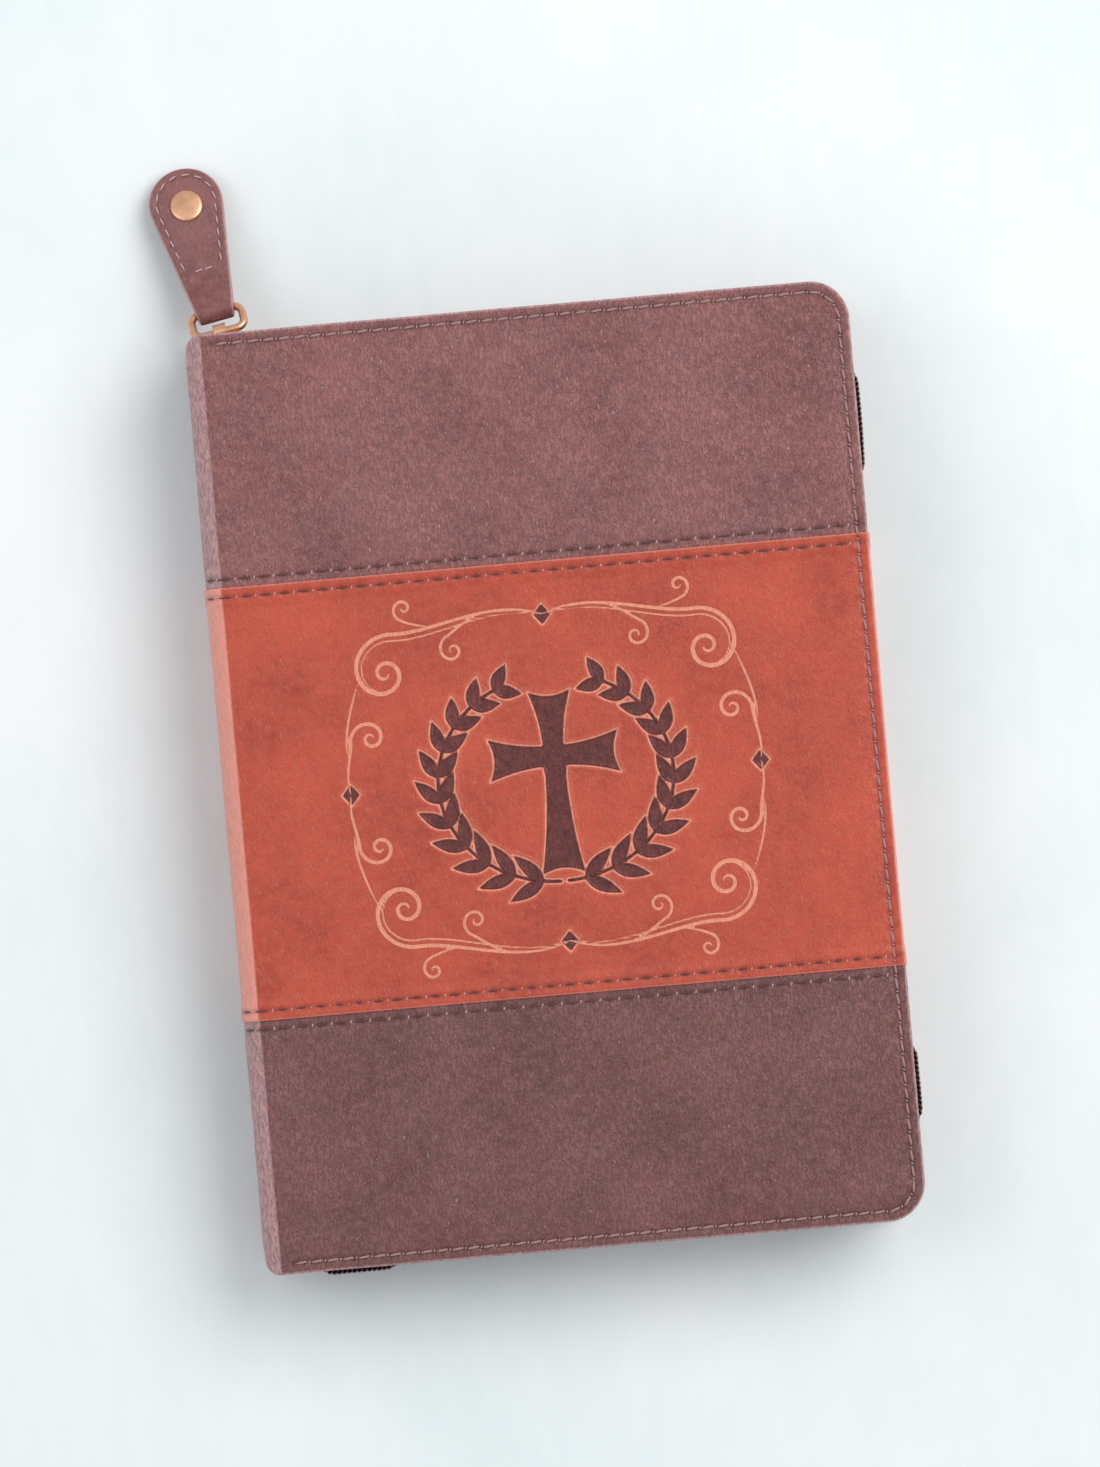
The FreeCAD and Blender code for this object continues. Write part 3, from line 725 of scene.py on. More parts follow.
def leather_relief(facts, seed):
    """Height above the folded surface, and the masks of painted sheen and of painted shade at the stitches and the
    hem.
    """
    x, y = facts["x"], facts["y"]
    from_seam = np.abs(y) - SEAM_Y
    height = facts["lift"]
    for number, (depth, length) in enumerate(UNEVEN):
        height = height + depth * waves(x, y, length, seed + number)
    # The face stands a little higher inside its edge stitching.
    padding = 0.22
    height = height + padding * smooth_step((facts["inset"] - 3.2) / 3.5)
    # The stitch rows draw the leather in, and shade is painted into their holes and grooves.
    edge_drop, edge_holes = stitched(facts["inset"] - EDGE_ROW_INSET, facts["along"], EDGE_PITCH)
    in_row = facts["along"] < EDGE_ROW_LENGTH + 0.5
    height = height - edge_drop * in_row
    pucker = edge_holes * in_row
    for offset in (from_seam - SEAM_ROW_OUTSIDE, from_seam + SEAM_ROW_INSIDE):
        drop, holes = stitched(offset, x - FORE_X, SEAM_PITCH)
        height = height - 0.9 * drop
        pucker = np.maximum(pucker, holes)
    # The strips dip as they pass under the band's hem, and a thin shadow is painted on them there as a dark line.
    dip_width, dip_depth = 1.1, 0.18
    height = height - dip_depth * smooth_step(1 - from_seam / dip_width) * (from_seam > 0)
    pucker = np.maximum(pucker, 0.85 * smooth_step(1 - np.abs(from_seam) / 0.35) * (facts["lift"] < 0.01))
    # Both halves of the spine are smooth where they meet.
    fade_length = 4.0
    fade = 1 - smooth_step((facts["beyond"] - SPINE_TRAVEL + fade_length) / fade_length)
    crease = np.exp(-((facts["beyond"] - 0.2) / 0.35) ** 2) * (facts["beyond"] > 0)
    # Painted sheen: the rolled band along the spine, the rim at the covers' edges and the hem's edge are painted
    # lighter.
    rub = smooth_step(facts["beyond"] / 0.5) * (1 - 0.85 * smooth_step(facts["beyond"] / ROLL_LENGTH - 0.6))
    rub = np.maximum(rub, smooth_step(1.4 - facts["inset"] / 0.5))
    hem_highlight = smooth_step(1 - np.abs(from_seam + 0.15) / 0.3) * (facts["lift"] > 0.01)
    rub = np.maximum(rub, 0.6 * hem_highlight)
    height = height * facts["outer"] * fade + 0.1 * crease
    return height, np.clip(rub, 0, 1), np.clip(pucker * facts["outer"], 0, 1)


# ---- the ornament pressed into the band: a flared cross in a laurel wreath, with scrolls round it

def laid_out(base, direction, along, across):
    """Places given along and across a direction from a base."""
    ahead = np.array([math.cos(direction), math.sin(direction)])
    aside = np.array([-ahead[1], ahead[0]])
    return base + ahead * along[:, None] + aside * across[:, None]


def flared_cross():
    """A Latin cross whose arms widen towards hollow ends, as one closed outline."""
    centre = np.array([0.0, 5.0])
    root = 2.3
    flare = 4.9
    hollow = 1.3
    arms = ((0, 15.0), (90, 15.0), (180, 15.0), (270, 27.0))
    share = np.linspace(0.18, 1, 8)
    width = root + (flare - root) * share ** 2.2
    end = np.linspace(-0.8, 0.8, 5)
    across = np.concatenate([-width, flare * end, width[::-1]])
    outline = []
    for turn, length in arms:
        along = np.concatenate([length * share, length - hollow * (1 - end ** 2), length * share[::-1]])
        outline.append(laid_out(centre, math.radians(turn), along, across))
    return np.concatenate(outline)


def leaf(base, direction, length, width):
    """A pointed leaf as a closed outline."""
    share = np.linspace(0, 1, 12)
    half = width / 2 * np.sin(math.pi * share ** 0.8)
    along = length * np.concatenate([share, share[-2:0:-1]])
    return laid_out(base, direction, along, np.concatenate([half, -half[-2:0:-1]]))


def wreath():
    """Leaves in pairs up the two branches of a laurel wreath, and the branches' stems."""
    radius = 27.0
    flatness = 0.88
    leaf_width = 3.2
    leaf_spread = 0.62
    leaves = []
    stems = []
    for side in (-1, 1):
        angles = np.radians(np.linspace(-80, 62, 11))
        for number, angle in enumerate(angles):
            place = radius * np.array([side * math.cos(angle), flatness * math.sin(angle)])
            heading = math.atan2(flatness * math.cos(angle), -side * math.sin(angle))
            size = 9.3 - 0.25 * number
            for spread in (-leaf_spread, leaf_spread):
                leaves.append(leaf(place, heading + spread, size, leaf_width))
        stem = np.radians(np.linspace(-88, 66, 40))
        path = np.stack([side * radius * np.cos(stem), flatness * radius * np.sin(stem)], axis=1)
        stems.append((path, np.full(len(path), 0.4)))
    return leaves, stems


def curl(centre, radius, start, turns, end_radius):
    """A spiral that winds in from its radius, anticlockwise for positive turns."""
    share = np.linspace(0, 1, int(40 * abs(turns)) + 8)
    angle = math.radians(start) + share * turns * 2 * math.pi
    size = radius * (end_radius / radius) ** share
    return np.stack([centre[0] + size * np.cos(angle), centre[1] + size * np.sin(angle)], axis=1)


def sweep(start, lean_start, end, lean_end):
    """A smooth curve between two points that leaves and arrives along two given leans."""
    share = np.linspace(0, 1, 30)[:, None]
    given = (start, lean_start, end, lean_end)
    start, lean_start, end, lean_end = [np.array(item, float) for item in given]
    return (start * (1 - share) ** 3 + 3 * (start + lean_start) * share * (1 - share) ** 2
            + 3 * (end - lean_end) * share ** 2 * (1 - share) + end * share ** 3)


def sweep_into(start, lean_start, spiral, lean_end):
    """A smooth curve that runs on into a spiral."""
    return np.concatenate([sweep(start, lean_start, spiral[0], lean_end)[:-1], spiral])


def tapered(path, width):
    """A path with half-widths that swell in the middle and fade to fine tips."""
    share = np.linspace(0, 1, len(path))
    return path, width / 2 * (0.35 + 0.65 * np.sin(math.pi * share) ** 0.6)


def beside(path, gap):
    """A line that leaves a path, runs beside it at a gap and comes back to it."""
    heading = np.gradient(path, axis=0)
    heading /= np.linalg.norm(heading, axis=1, keepdims=True)
    apart = gap * np.sin(math.pi * np.linspace(0, 1, len(path))) ** 0.5
    return path + np.stack([-heading[:, 1], heading[:, 0]], axis=1) * apart[:, None]


def scrolls():
    """One corner's scrolls, mirrored into all four corners so that they join in the middles."""
    stem = sweep_into((0.0, 37.5), (12, 5), curl((37.0, 27.0), 9.0, 100, -1.75, 0.9), (10, 1))
    below = sweep_into((12.9, 39.0), (4, -0.5), curl((21.0, 31.0), 3.4, 60, -1.3, 0.6), (3.5, -2))
    above = sweep_into((25.6, 36.7), (3, 0.6), curl((31.5, 41.5), 2.8, -60, 1.2, 0.5), (2, 1.2))
    side = sweep_into((47.0, 0.0), (1.2, 5), curl((41.5, 12.5), 4.6, 0, 1.45, 0.7), (0, 4))
    link = sweep((46.6, 8.0), (1.8, 4), (43.4, 25.0), (-1.6, 4))
    lines = [tapered(stem, 1.05), tapered(beside(stem[:52], -1.5), 0.5), tapered(below, 0.75),
             tapered(above, 0.75), tapered(side, 0.9), tapered(link, 0.6)]
    mirrored = []
    for flip in ((1, 1), (-1, 1), (1, -1), (-1, -1)):
        mirrored += [(path * np.array(flip), width) for path, width in lines]
    return mirrored


def diamond(x, y, half_width, half_height):
    """An upright diamond as a closed outline."""
    return np.array([(x, y + half_height), (x + half_width, y), (x, y - half_height), (x - half_width, y)])


def diamonds():
    """Small diamonds where the mirrored scrolls meet."""
    return [diamond(x, y, 2.0, 2.4) for x, y in ((0.0, 37.5), (0.0, -37.5), (47.0, 0.0), (-47.0, 0.0))]


def segment_distance(x, y, start, end):
    """Distance from points to the straight piece between two places."""
    run_x, run_y = end[0] - start[0], end[1] - start[1]
    share = ((x - start[0]) * run_x + (y - start[1]) * run_y) / (run_x ** 2 + run_y ** 2 + 1e-12)
    share = np.clip(share, 0, 1)
    return np.hypot(x - start[0] - share * run_x, y - start[1] - share * run_y)


def outline_distance(x, y, outline):
    """Signed distance from points to a closed outline, negative inside."""
    nearest = np.full(x.shape, np.inf)
    inside = np.zeros(x.shape, bool)
    for (ax, ay), (bx, by) in zip(outline, np.roll(outline, -1, axis=0)):
        nearest = np.minimum(nearest, segment_distance(x, y, (ax, ay), (bx, by)))
        if by != ay:
            inside ^= ((ay > y) != (by > y)) & (x < ax + (bx - ax) * (y - ay) / (by - ay))
    return np.where(inside, -nearest, nearest)


def line_distance(x, y, path, half_width):
    """Distance from points to the edge of a line that has its own half-width at each point."""
    nearest = np.full(x.shape, np.inf)
    for start, end, width in zip(path, path[1:], half_width):
        nearest = np.minimum(nearest, segment_distance(x, y, start, end) - width)
    return nearest


def ornament(x, y):
    """Distances from each point of the band to the dark shapes and to the light lines."""
    dark = np.full(x.shape, FAR)
    light = np.full(x.shape, FAR)
    near = (np.abs(x) < ORNAMENT_HALF[0]) & (np.abs(y) < ORNAMENT_HALF[1])
    nx, ny = x[near], y[near]
    leaves, stems = wreath()
    dark_near = np.full(nx.shape, FAR)
    for outline in [flared_cross()] + leaves + diamonds():
        close = np.hypot(nx - outline[:, 0].mean(), ny - outline[:, 1].mean()) < 34
        distance = outline_distance(nx[close], ny[close], outline)
        dark_near[close] = np.minimum(dark_near[close], distance)
    light_near = np.full(nx.shape, FAR)
    for path, width in scrolls():
        light_near = np.minimum(light_near, line_distance(nx, ny, path, width))
    for path, width in stems:
        dark_near = np.minimum(dark_near, line_distance(nx, ny, path, width))
    dark[near] = dark_near
    light[near] = light_near
    return dark, light


# ---- making the wraps

def wrap_piece(side, strip, material):
    """One strip of a cover's leather with its half of the spine, folded and embossed."""
    centre = strip == "centre"
    detailed = centre and side == "front"
    columns = wrap_columns(ORNAMENT_STEP if detailed else PLAIN_STEP)
    rows = band_rows(ORNAMENT_STEP if detailed else ROW_STEP) if centre else end_rows(ROW_STEP)
    points, facts = fold_leather(columns, rows)
    seed = 11 if side == "front" else 31
    height, rub, pucker = leather_relief(facts, seed)
    dark = np.full(height.shape, FAR)
    light = np.full(height.shape, FAR)
    if detailed:
        dark, light = ornament(facts["x"], facts["y"])
        height = height - DARK_DEPTH * smooth_step(0.5 - dark / 0.55)
        height = height - LINE_DEPTH * smooth_step(0.5 - light / 0.4)
        height = height + LIP_HEIGHT * smooth_step(1 - np.abs(dark - 0.55) / 0.5)
    normals = grid_normals(points)
    if normals[rows[0].size // 2, columns[0].size // 2, 2] < 0:
        normals = -normals
    points = points + normals * height[..., None]
    # The back cover's leather has the grain of another place in the hide.
    hide_z = 50.0 if side == "back" else 0.0
    rest = np.stack([facts["x"], facts["y"], np.full(height.shape, hide_z)], axis=-1)
    faces = grid_faces(*height.shape)
    if strip == "tail":
        points = points * [1, -1, 1]
        rest = rest * [1, -1, 1]
        faces = faces[:, ::-1]
    if side == "back":
        points = turned_over(points)
        faces = faces[:, ::-1]
    # The leather's colour takes its painted sheen and painted shade from these masks.
    piece = mesh_object(side + "_wrap_" + strip, points, faces, material, rest=rest, rub=rub,
                        pucker=pucker, dark_distance=dark, line_distance=light)
    bend_at_hinge(piece)
    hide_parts(side + "_leather_" + strip, "spine_leather_" + strip)


def bend_at_hinge(piece):
    """Bakes the piece's placement into its points."""
    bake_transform(piece)


# ---- stitches

def stitch_shape(length, width, height):
    """One stitch along x: a plump lozenge whose ends dive into the leather."""
    sides = 8
    turn = np.arange(sides) * 2 * math.pi / sides
    rings = []
    for share in np.linspace(-1, 1, 7):
        girth = math.sqrt(max(1 - share ** 4, 0.04))
        arch = height * (0.35 - 0.75 * share ** 4)
        rings.append(np.stack([
            np.full(sides, share * length / 2),
            width / 2 * girth * np.cos(turn),
            arch + height / 2 * girth * np.sin(turn),
        ], axis=1))
    return np.concatenate(rings), grid_faces(len(rings), sides, close_columns=True)


def frames_from(directions, normals):
    """Axes for copies: along each direction, with z along its normal."""
    sides = np.cross(normals, directions)
    return np.stack([directions, sides, normals], axis=1)


def edge_place(along, inset):
    """A line round the cover at an inset, measured along it from the fore-edge's middle.

    Returns the place in plan, the direction and the way outward.
    """
    along = np.asarray(along, float)
    radius = CORNER_RADIUS - inset
    size = np.abs(along)
    sign = np.where(along < 0, -1.0, 1.0)
    angle = np.clip((size - CENTRE_Y) / radius, 0, math.pi / 2)
    on_head = np.maximum(size - CENTRE_Y - radius * math.pi / 2, 0)
    x = CENTRE_X + radius * np.cos(angle) - on_head
    y = np.minimum(size, CENTRE_Y) + radius * np.sin(angle)
    direction = np.stack([-np.sin(angle), sign * np.cos(angle), np.zeros(angle.shape)], axis=-1)
    outward = np.stack([np.cos(angle), sign * np.sin(angle), np.zeros(angle.shape)], axis=-1)
    return x, sign * y, direction, outward


def add_stitches(name, shape, places, axes, material):
    """One piece with a stitch at each place, and the thread's pattern shifted from one to the next."""
    points, faces = copies(*shape, places, axes)
    rest = np.tile(shape[0], (len(places), 1)) + np.repeat(places, len(shape[0]), axis=0) * 0.37
    piece = mesh_object(name, points, faces, material, rest=rest)
    return piece


def edge_stitches(side, material, knot_material):
    """The row round the free edges of one cover, and the tick of thread that shows at each hole."""
    lean = math.radians(7)
    outer = 1 if side == "front" else -1
    surface_z = TOP_Z if side == "front" else 0.0
    number = np.arange(1 - EDGE_STITCHES, EDGE_STITCHES)
    long_shape = stitch_shape(EDGE_PITCH * 0.78, 0.55, 0.46)
    tick_shape = stitch_shape(0.75, 0.26, 0.34)
    for name, at, sunk, turn, shape, finish in (
            ("_edge_stitches", number, 0.10, lean, long_shape, material),
            ("_edge_ticks", number[:-1] + 0.5, 0.12, 1.2, tick_shape, knot_material)):
        x, y, direction, _ = edge_place(at * EDGE_PITCH, EDGE_ROW_INSET)
        sideways = np.stack([-direction[:, 1], direction[:, 0], direction[:, 2]], axis=1)
        direction = direction * math.cos(turn) + sideways * math.sin(turn)
        places = at_height(x, y, surface_z - outer * sunk)
        normals = np.tile([0.0, 0.0, outer], (len(x), 1))
        piece = add_stitches(side + name, shape, places, frames_from(direction, normals), finish)
        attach(piece, side + "_cover")
        if finish is material:
            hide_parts(side + "_edge_thread")


def seam_line(flat_x):
    """A place on the face or round the spine for a distance laid out flat: x, z and slope."""
    travel = CREASE_X - flat_x
    if travel > 0:
        return spine_curve(travel)
    return flat_x, TOP_Z, 0.0


def seam_row(side, row_y, lift, first, last_travel):
    """Places and axes along one seam row, one pitch apart, over the face and round the spine."""
    places = []
    directions = []
    normals = []
    flat_x = FORE_X - first
    while CREASE_X - flat_x < last_travel:
        x, z, slope = seam_line(flat_x)
        normal = np.array([-math.sin(slope), 0, math.cos(slope)])
        direction = np.array([-math.cos(slope), 0, -math.sin(slope)])
        spot = np.array([x, row_y, z]) + normal * lift
        if side == "back":
            spot[2] = TOP_Z - spot[2]
            normal[2] = -normal[2]
            direction[2] = -direction[2]
        places.append(spot)
        directions.append(direction)
        normals.append(normal)
        flat_x -= SEAM_PITCH
    return np.array(places), frames_from(np.array(directions), np.array(normals))


def seam_stitches(side, material, knot_material):
    """The two rows at each seam, and the bright tick of thread that shows at each hole."""
    rows = ((SEAM_Y + SEAM_ROW_OUTSIDE, -0.06), (SEAM_Y - SEAM_ROW_INSIDE, 0.26))
    stitches = []
    ticks = []
    for row_y, lift in rows:
        for sign in (-1, 1):
            last = SPINE_TRAVEL - SEAM_PITCH / 2
            stitches.append(seam_row(side, sign * row_y, lift, SEAM_PITCH * 1.5, last))
            ticks.append(seam_row(side, sign * row_y, lift, SEAM_PITCH, last))
    places, axes = [np.concatenate(items) for items in zip(*stitches)]
    piece = add_stitches(side + "_seam_stitches", stitch_shape(SEAM_PITCH * 0.86, 0.42, 0.34),
                         places, axes, material)
    bend_at_hinge(piece)
    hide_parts(side + "_seam_thread", "spine_seam_thread")
    places, axes = [np.concatenate(items) for items in zip(*ticks)]
    crosswise = axes[:, [1, 0, 2]] * np.array([1, -1, 1])[None, :, None]
    lean = axes[:, 0:1] * 0.25
    crosswise[:, 0:1] += lean
    piece = add_stitches(side + "_seam_ticks", stitch_shape(1.0, 0.34, 0.42), places, crosswise,
                         knot_material)
    bend_at_hinge(piece)


# ---- zip

def swell(place, middle, flat_half, slope, reach):
    """A flat-topped bump along a line."""
    return reach * smooth_step((flat_half + slope - np.abs(place - middle)) / slope)


def bulge(x, y):
    """How far the zip is pushed out past its plane: twice on the fore-edge and once at the tail."""
    fore = sum(swell(y, *sizes) for sizes in FORE_BULGES) * (x > CENTRE_X)
    return fore + swell(x, *TAIL_BULGE) * (y < -CENTRE_Y)


def zip_place(along):
    """The zip's line: place in plan, direction, the way outward, and how far out it stands."""
    x, y, direction, outward = edge_place(along, ZIP_INSET)
    return x, y, direction, outward, bulge(x, y) + ZIP_WAVE * waves(along, along * 0, 30, 5)


def zip_tape(side, material):
    """The woven tape from the cover down to its coil, pushed out with the bulges."""
    reach = ZIP_HALF - TAPE_FROM_SPINE
    along = np.arange(-reach, reach + 0.01, TAPE_STEP)
    x, y, _, outward, out = zip_place(along)
    heights = np.linspace(COVER_INNER_Z + 0.1, MIDDLE_Z + TAPE_PAST_MIDDLE, 9)
    loop = [(z, TAPE_HALF) for z in heights]
    loop += [(heights[-1] - 0.2, 0.0)]
    loop += [(z, -TAPE_HALF) for z in heights[::-1]]
    points = []
    for z, offset in loop:
        hang = np.clip((COVER_INNER_Z - z) / (COVER_INNER_Z - MIDDLE_Z), 0, 1)
        shift = offset + out * np.sin(hang * math.pi / 2)
        points.append(at_height(x + outward[:, 0] * shift, y + outward[:, 1] * shift, z))
    points = np.stack(points, axis=1)
    rest = np.stack([np.broadcast_to(along[:, None], points.shape[:2]), points[..., 2],
                     np.zeros(points.shape[:2])], axis=-1)
    if side == "back":
        points = turned_over(points)
    faces = grid_faces(*points.shape[:2], close_columns=True)
    piece = mesh_object("zip_tape_" + side + "_cloth", points, faces, material, rest=rest)
    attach(piece, side + "_cover")
    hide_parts("zip_tape_" + side)


def zip_teeth(side, material):
    """The nylon coil: one bent loop per tooth, the two sides' teeth set between each other."""
    reach = ZIP_HALF - TEETH_FROM_SPINE
    along = np.arange(-reach, reach, TOOTH_PITCH) + (0.0 if side == "front" else TOOTH_PITCH / 2)
    x, y, direction, outward, out = zip_place(along)
    loop = [(0.28, 0.85, 2.3), (0.15, 1.1, 1.2), (0.08, 0.95, 0.1), (0.0, 0.45, -0.75),
            (0.0, -0.45, -0.75), (-0.08, -0.95, 0.1), (-0.15, -1.1, 1.2), (-0.28, -0.85, 2.3)]
    ring, faces = tube(np.array(loop), TOOTH_RADIUS, 6)
    up = np.tile([0.0, 0.0, 1.0], (len(x), 1))
    axes = np.stack([direction, outward, up], axis=1)
    places = at_height(x, y, MIDDLE_Z) + outward * out[:, None]
    points, faces = copies(ring.reshape(-1, 3), faces, places, axes)
    rest = points.copy()
    if side == "back":
        points = turned_over(points)
    piece = mesh_object("zip_teeth_" + side, points, faces, material, rest=rest)
    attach(piece, side + "_cover")
    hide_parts("zip_coil_" + side)


# ---- pages

def leaf_outline(left, right, half_height, corner, step):
    """A grid over a leaf: rows up the page, columns across, its two fore-edge corners rounded."""
    across = np.concatenate([np.arange(left, right - corner, step), np.linspace(right - corner, right, 7)])
    up = np.concatenate([[-half_height], np.linspace(-half_height + 0.2, -half_height + corner, 6),
                         np.linspace(-half_height + corner, half_height - corner, 40)[1:-1],
                         np.linspace(half_height - corner, half_height - 0.2, 6), [half_height]])
    x, y = np.meshgrid(across, up)
    past_x = np.maximum(x - (right - corner), 0)
    past_y = np.maximum(np.abs(y) - (half_height - corner), 0)
    shell, angle = round_corner(past_x, past_y)
    both = (past_x > 0) & (past_y > 0)
    x = np.where(both, right - corner + shell * np.cos(angle), x)
    y = np.where(both, np.sign(y) * (half_height - corner + shell * np.sin(angle)), y)
    return x, y


def page_block(name, node, material, greyed):
    """A block of leaves as one closed form with uneven edges."""
    low, high = box_mm(node)
    x, y = leaf_outline(low[0], high[0], high[1], LEAF_CORNER, LEAF_STEP)
    rows, columns = x.shape
    top = np.arange(rows * columns).reshape(rows, columns)
    rim = np.concatenate([top[0, :], top[1:, -1], top[-1, -2::-1], top[-2:0:-1, 0]])
    flat = np.stack([x.ravel(), y.ravel()], axis=1)
    levels = np.linspace(high[2], low[2], max(int((high[2] - low[2]) / LEAF_LAYER), 2))[1:-1]
    chance = np.random.default_rng(len(name))
    points = [at_height(*flat.T, high[2])]
    middle = np.array([(low[0] + high[0]) / 2, 0.0])
    for z in levels:
        shrink = 1 - chance.uniform(0, LEAF_RAGGED)
        points.append(at_height(*(middle + (flat[rim] - middle) * shrink).T, z))
    points.append(at_height(*flat.T, low[2]))
    faces = [grid_faces(rows, columns)]
    rings = [rim]
    start = len(flat)
    for _ in levels:
        rings.append(start + np.arange(len(rim)))
        start += len(rim)
    rings.append(start + rim)
    for upper, lower in zip(rings, rings[1:]):
        faces.append(np.stack([upper, lower, np.roll(lower, -1), np.roll(upper, -1)], axis=1))
    faces.append(grid_faces(rows, columns)[:, ::-1] + start)
    points = np.concatenate(points)
    edge = np.ones(len(points))
    edge[:len(flat)] = 0
    edge[start:] = 0
    face = 1 - edge if greyed else np.zeros(len(points))
    piece = mesh_object(name, points, np.concatenate(faces), material, rest=points, edge=edge, face=face)
    crisp_rim = math.radians(40)
    piece.data.set_sharp_from_angle(angle=crisp_rim)
    bend_at_glue(piece)
    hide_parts(node)


def bend_at_glue(piece):
    """Bakes the piece's placement into its points."""
    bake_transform(piece)


def leaf_stretch(x, z):
    """How much wider a strip at this place becomes as the back leaves arch open by a quarter turn."""
    share = np.clip((PAGE_SPINE_X + LEAF_BEND - x) / LEAF_BEND, 0, 1)
    from_glue = z - joints["block_spine_to_back"]["pos_m"][2] / MM
    return 1 + from_glue * math.pi / 2 * 6 * share * (1 - share) / LEAF_BEND


def ribbon(material):
    """The marker laid aslant on the lower pages, with a notched end at the tail.

    It is made narrower near the spine by the stretch that leaf_stretch works out.
    """
    low, high = box_mm("ribbon_marker")
    length = (high[1] - low[1]) / math.cos(RIBBON_LEAN)
    along = np.linspace(-length / 2 + 0.6, length / 2 - 0.6, 120)
    across = np.linspace(-RIBBON_HALF, RIBBON_HALF, 9)
    up, side = np.meshgrid(along, across, indexing="ij")
    notch = 2.2 * (1 - np.abs(side) / RIBBON_HALF) * smooth_step(1 - (up + length / 2) / 6)
    flat_up = up + notch
    middle_x = (low[0] + high[0]) / 2 - flat_up * math.sin(RIBBON_LEAN)
    laid = side * math.cos(RIBBON_LEAN) / leaf_stretch(middle_x, low[2])
    y = side * math.sin(RIBBON_LEAN) + flat_up * math.cos(RIBBON_LEAN)
    z = low[2] + 0.16 + 0.04 * np.sin(flat_up / 9) * (1 - (side / RIBBON_HALF) ** 2)
    upper = np.stack([middle_x + laid, y, z + 0.05], axis=-1)
    lower = np.stack([middle_x + laid, y, z - 0.05], axis=-1)
    rows, columns = side.shape
    loop = np.concatenate([upper, lower[:, ::-1]], axis=1)
    rest = np.stack([side, flat_up, z * 0], axis=-1)
    rest = np.concatenate([rest, rest[:, ::-1]], axis=1)
    faces = grid_faces(rows, 2 * columns, close_columns=True)
    piece = mesh_object("ribbon_cloth", loop, faces, material, rest=rest)
    bend_at_glue(piece)
    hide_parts("ribbon_marker")


# ---- pull: rivet and strap

class PullFrame:
    """Turns places on the pull laid flat into the frame: across it, along it and out of its face."""

    def __init__(self, origin, across, slope):
        self.origin = origin
        self.across = across / np.linalg.norm(across)
        level = np.array([-self.across[1], self.across[0], 0.0])
        down = np.array([0.0, 0.0, -1.0])
        self.along = level * math.cos(slope) + down * math.sin(slope)
        self.out = level * math.sin(slope) - down * math.cos(slope)
        self.axes = np.stack([self.across, self.along, self.out])

    def place(self, points):
        return np.asarray(points) @ self.axes + self.origin


def strap_side():
    """One side of the strap laid flat, from its tip to the ring's wire.

    Returns its half-width, place and outward lean at each point, and the taper of its neck.
    """
    head_y = STRAP_LENGTH - STRAP_HEAD_RADIUS
    neck_run = head_y - STRAP_NECK_Y
    touch = math.acos(STRAP_HEAD_RADIUS / math.hypot(STRAP_NECK_HALF, neck_run))
    touch -= math.atan2(neck_run, STRAP_NECK_HALF)
    round_turn = np.linspace(math.pi / 2, touch, 30)
    half = STRAP_HEAD_RADIUS * np.cos(round_turn)
    place = head_y + STRAP_HEAD_RADIUS * np.sin(round_turn)
    stitched_part = np.linspace(place[-1], STRAP_JOIN, 26)[1:]
    straight = np.concatenate([stitched_part, np.linspace(STRAP_JOIN, 0, 7)[1:]])
    taper = (half[-1] - STRAP_NECK_HALF) / (place[-1] - STRAP_NECK_Y)
    half = np.concatenate([half, STRAP_NECK_HALF + taper * (straight - STRAP_NECK_Y)])
    place = np.concatenate([place, straight])
    lean = np.concatenate([round_turn, np.full(len(straight), touch)])
    lean[place < STRAP_JOIN - 0.01] = 0
    return half, place, lean, taper


def strap_path(place):
    """Heights of the outer and inner faces of the top layer at each place along the strap."""
    to_wire = np.clip(1 - place / STRAP_JOIN, 0, 1)
    return STRAP_LEATHER + (WRAP_OUTER - STRAP_LEATHER) * to_wire, (WRAP_OUTER - STRAP_LEATHER) * to_wire


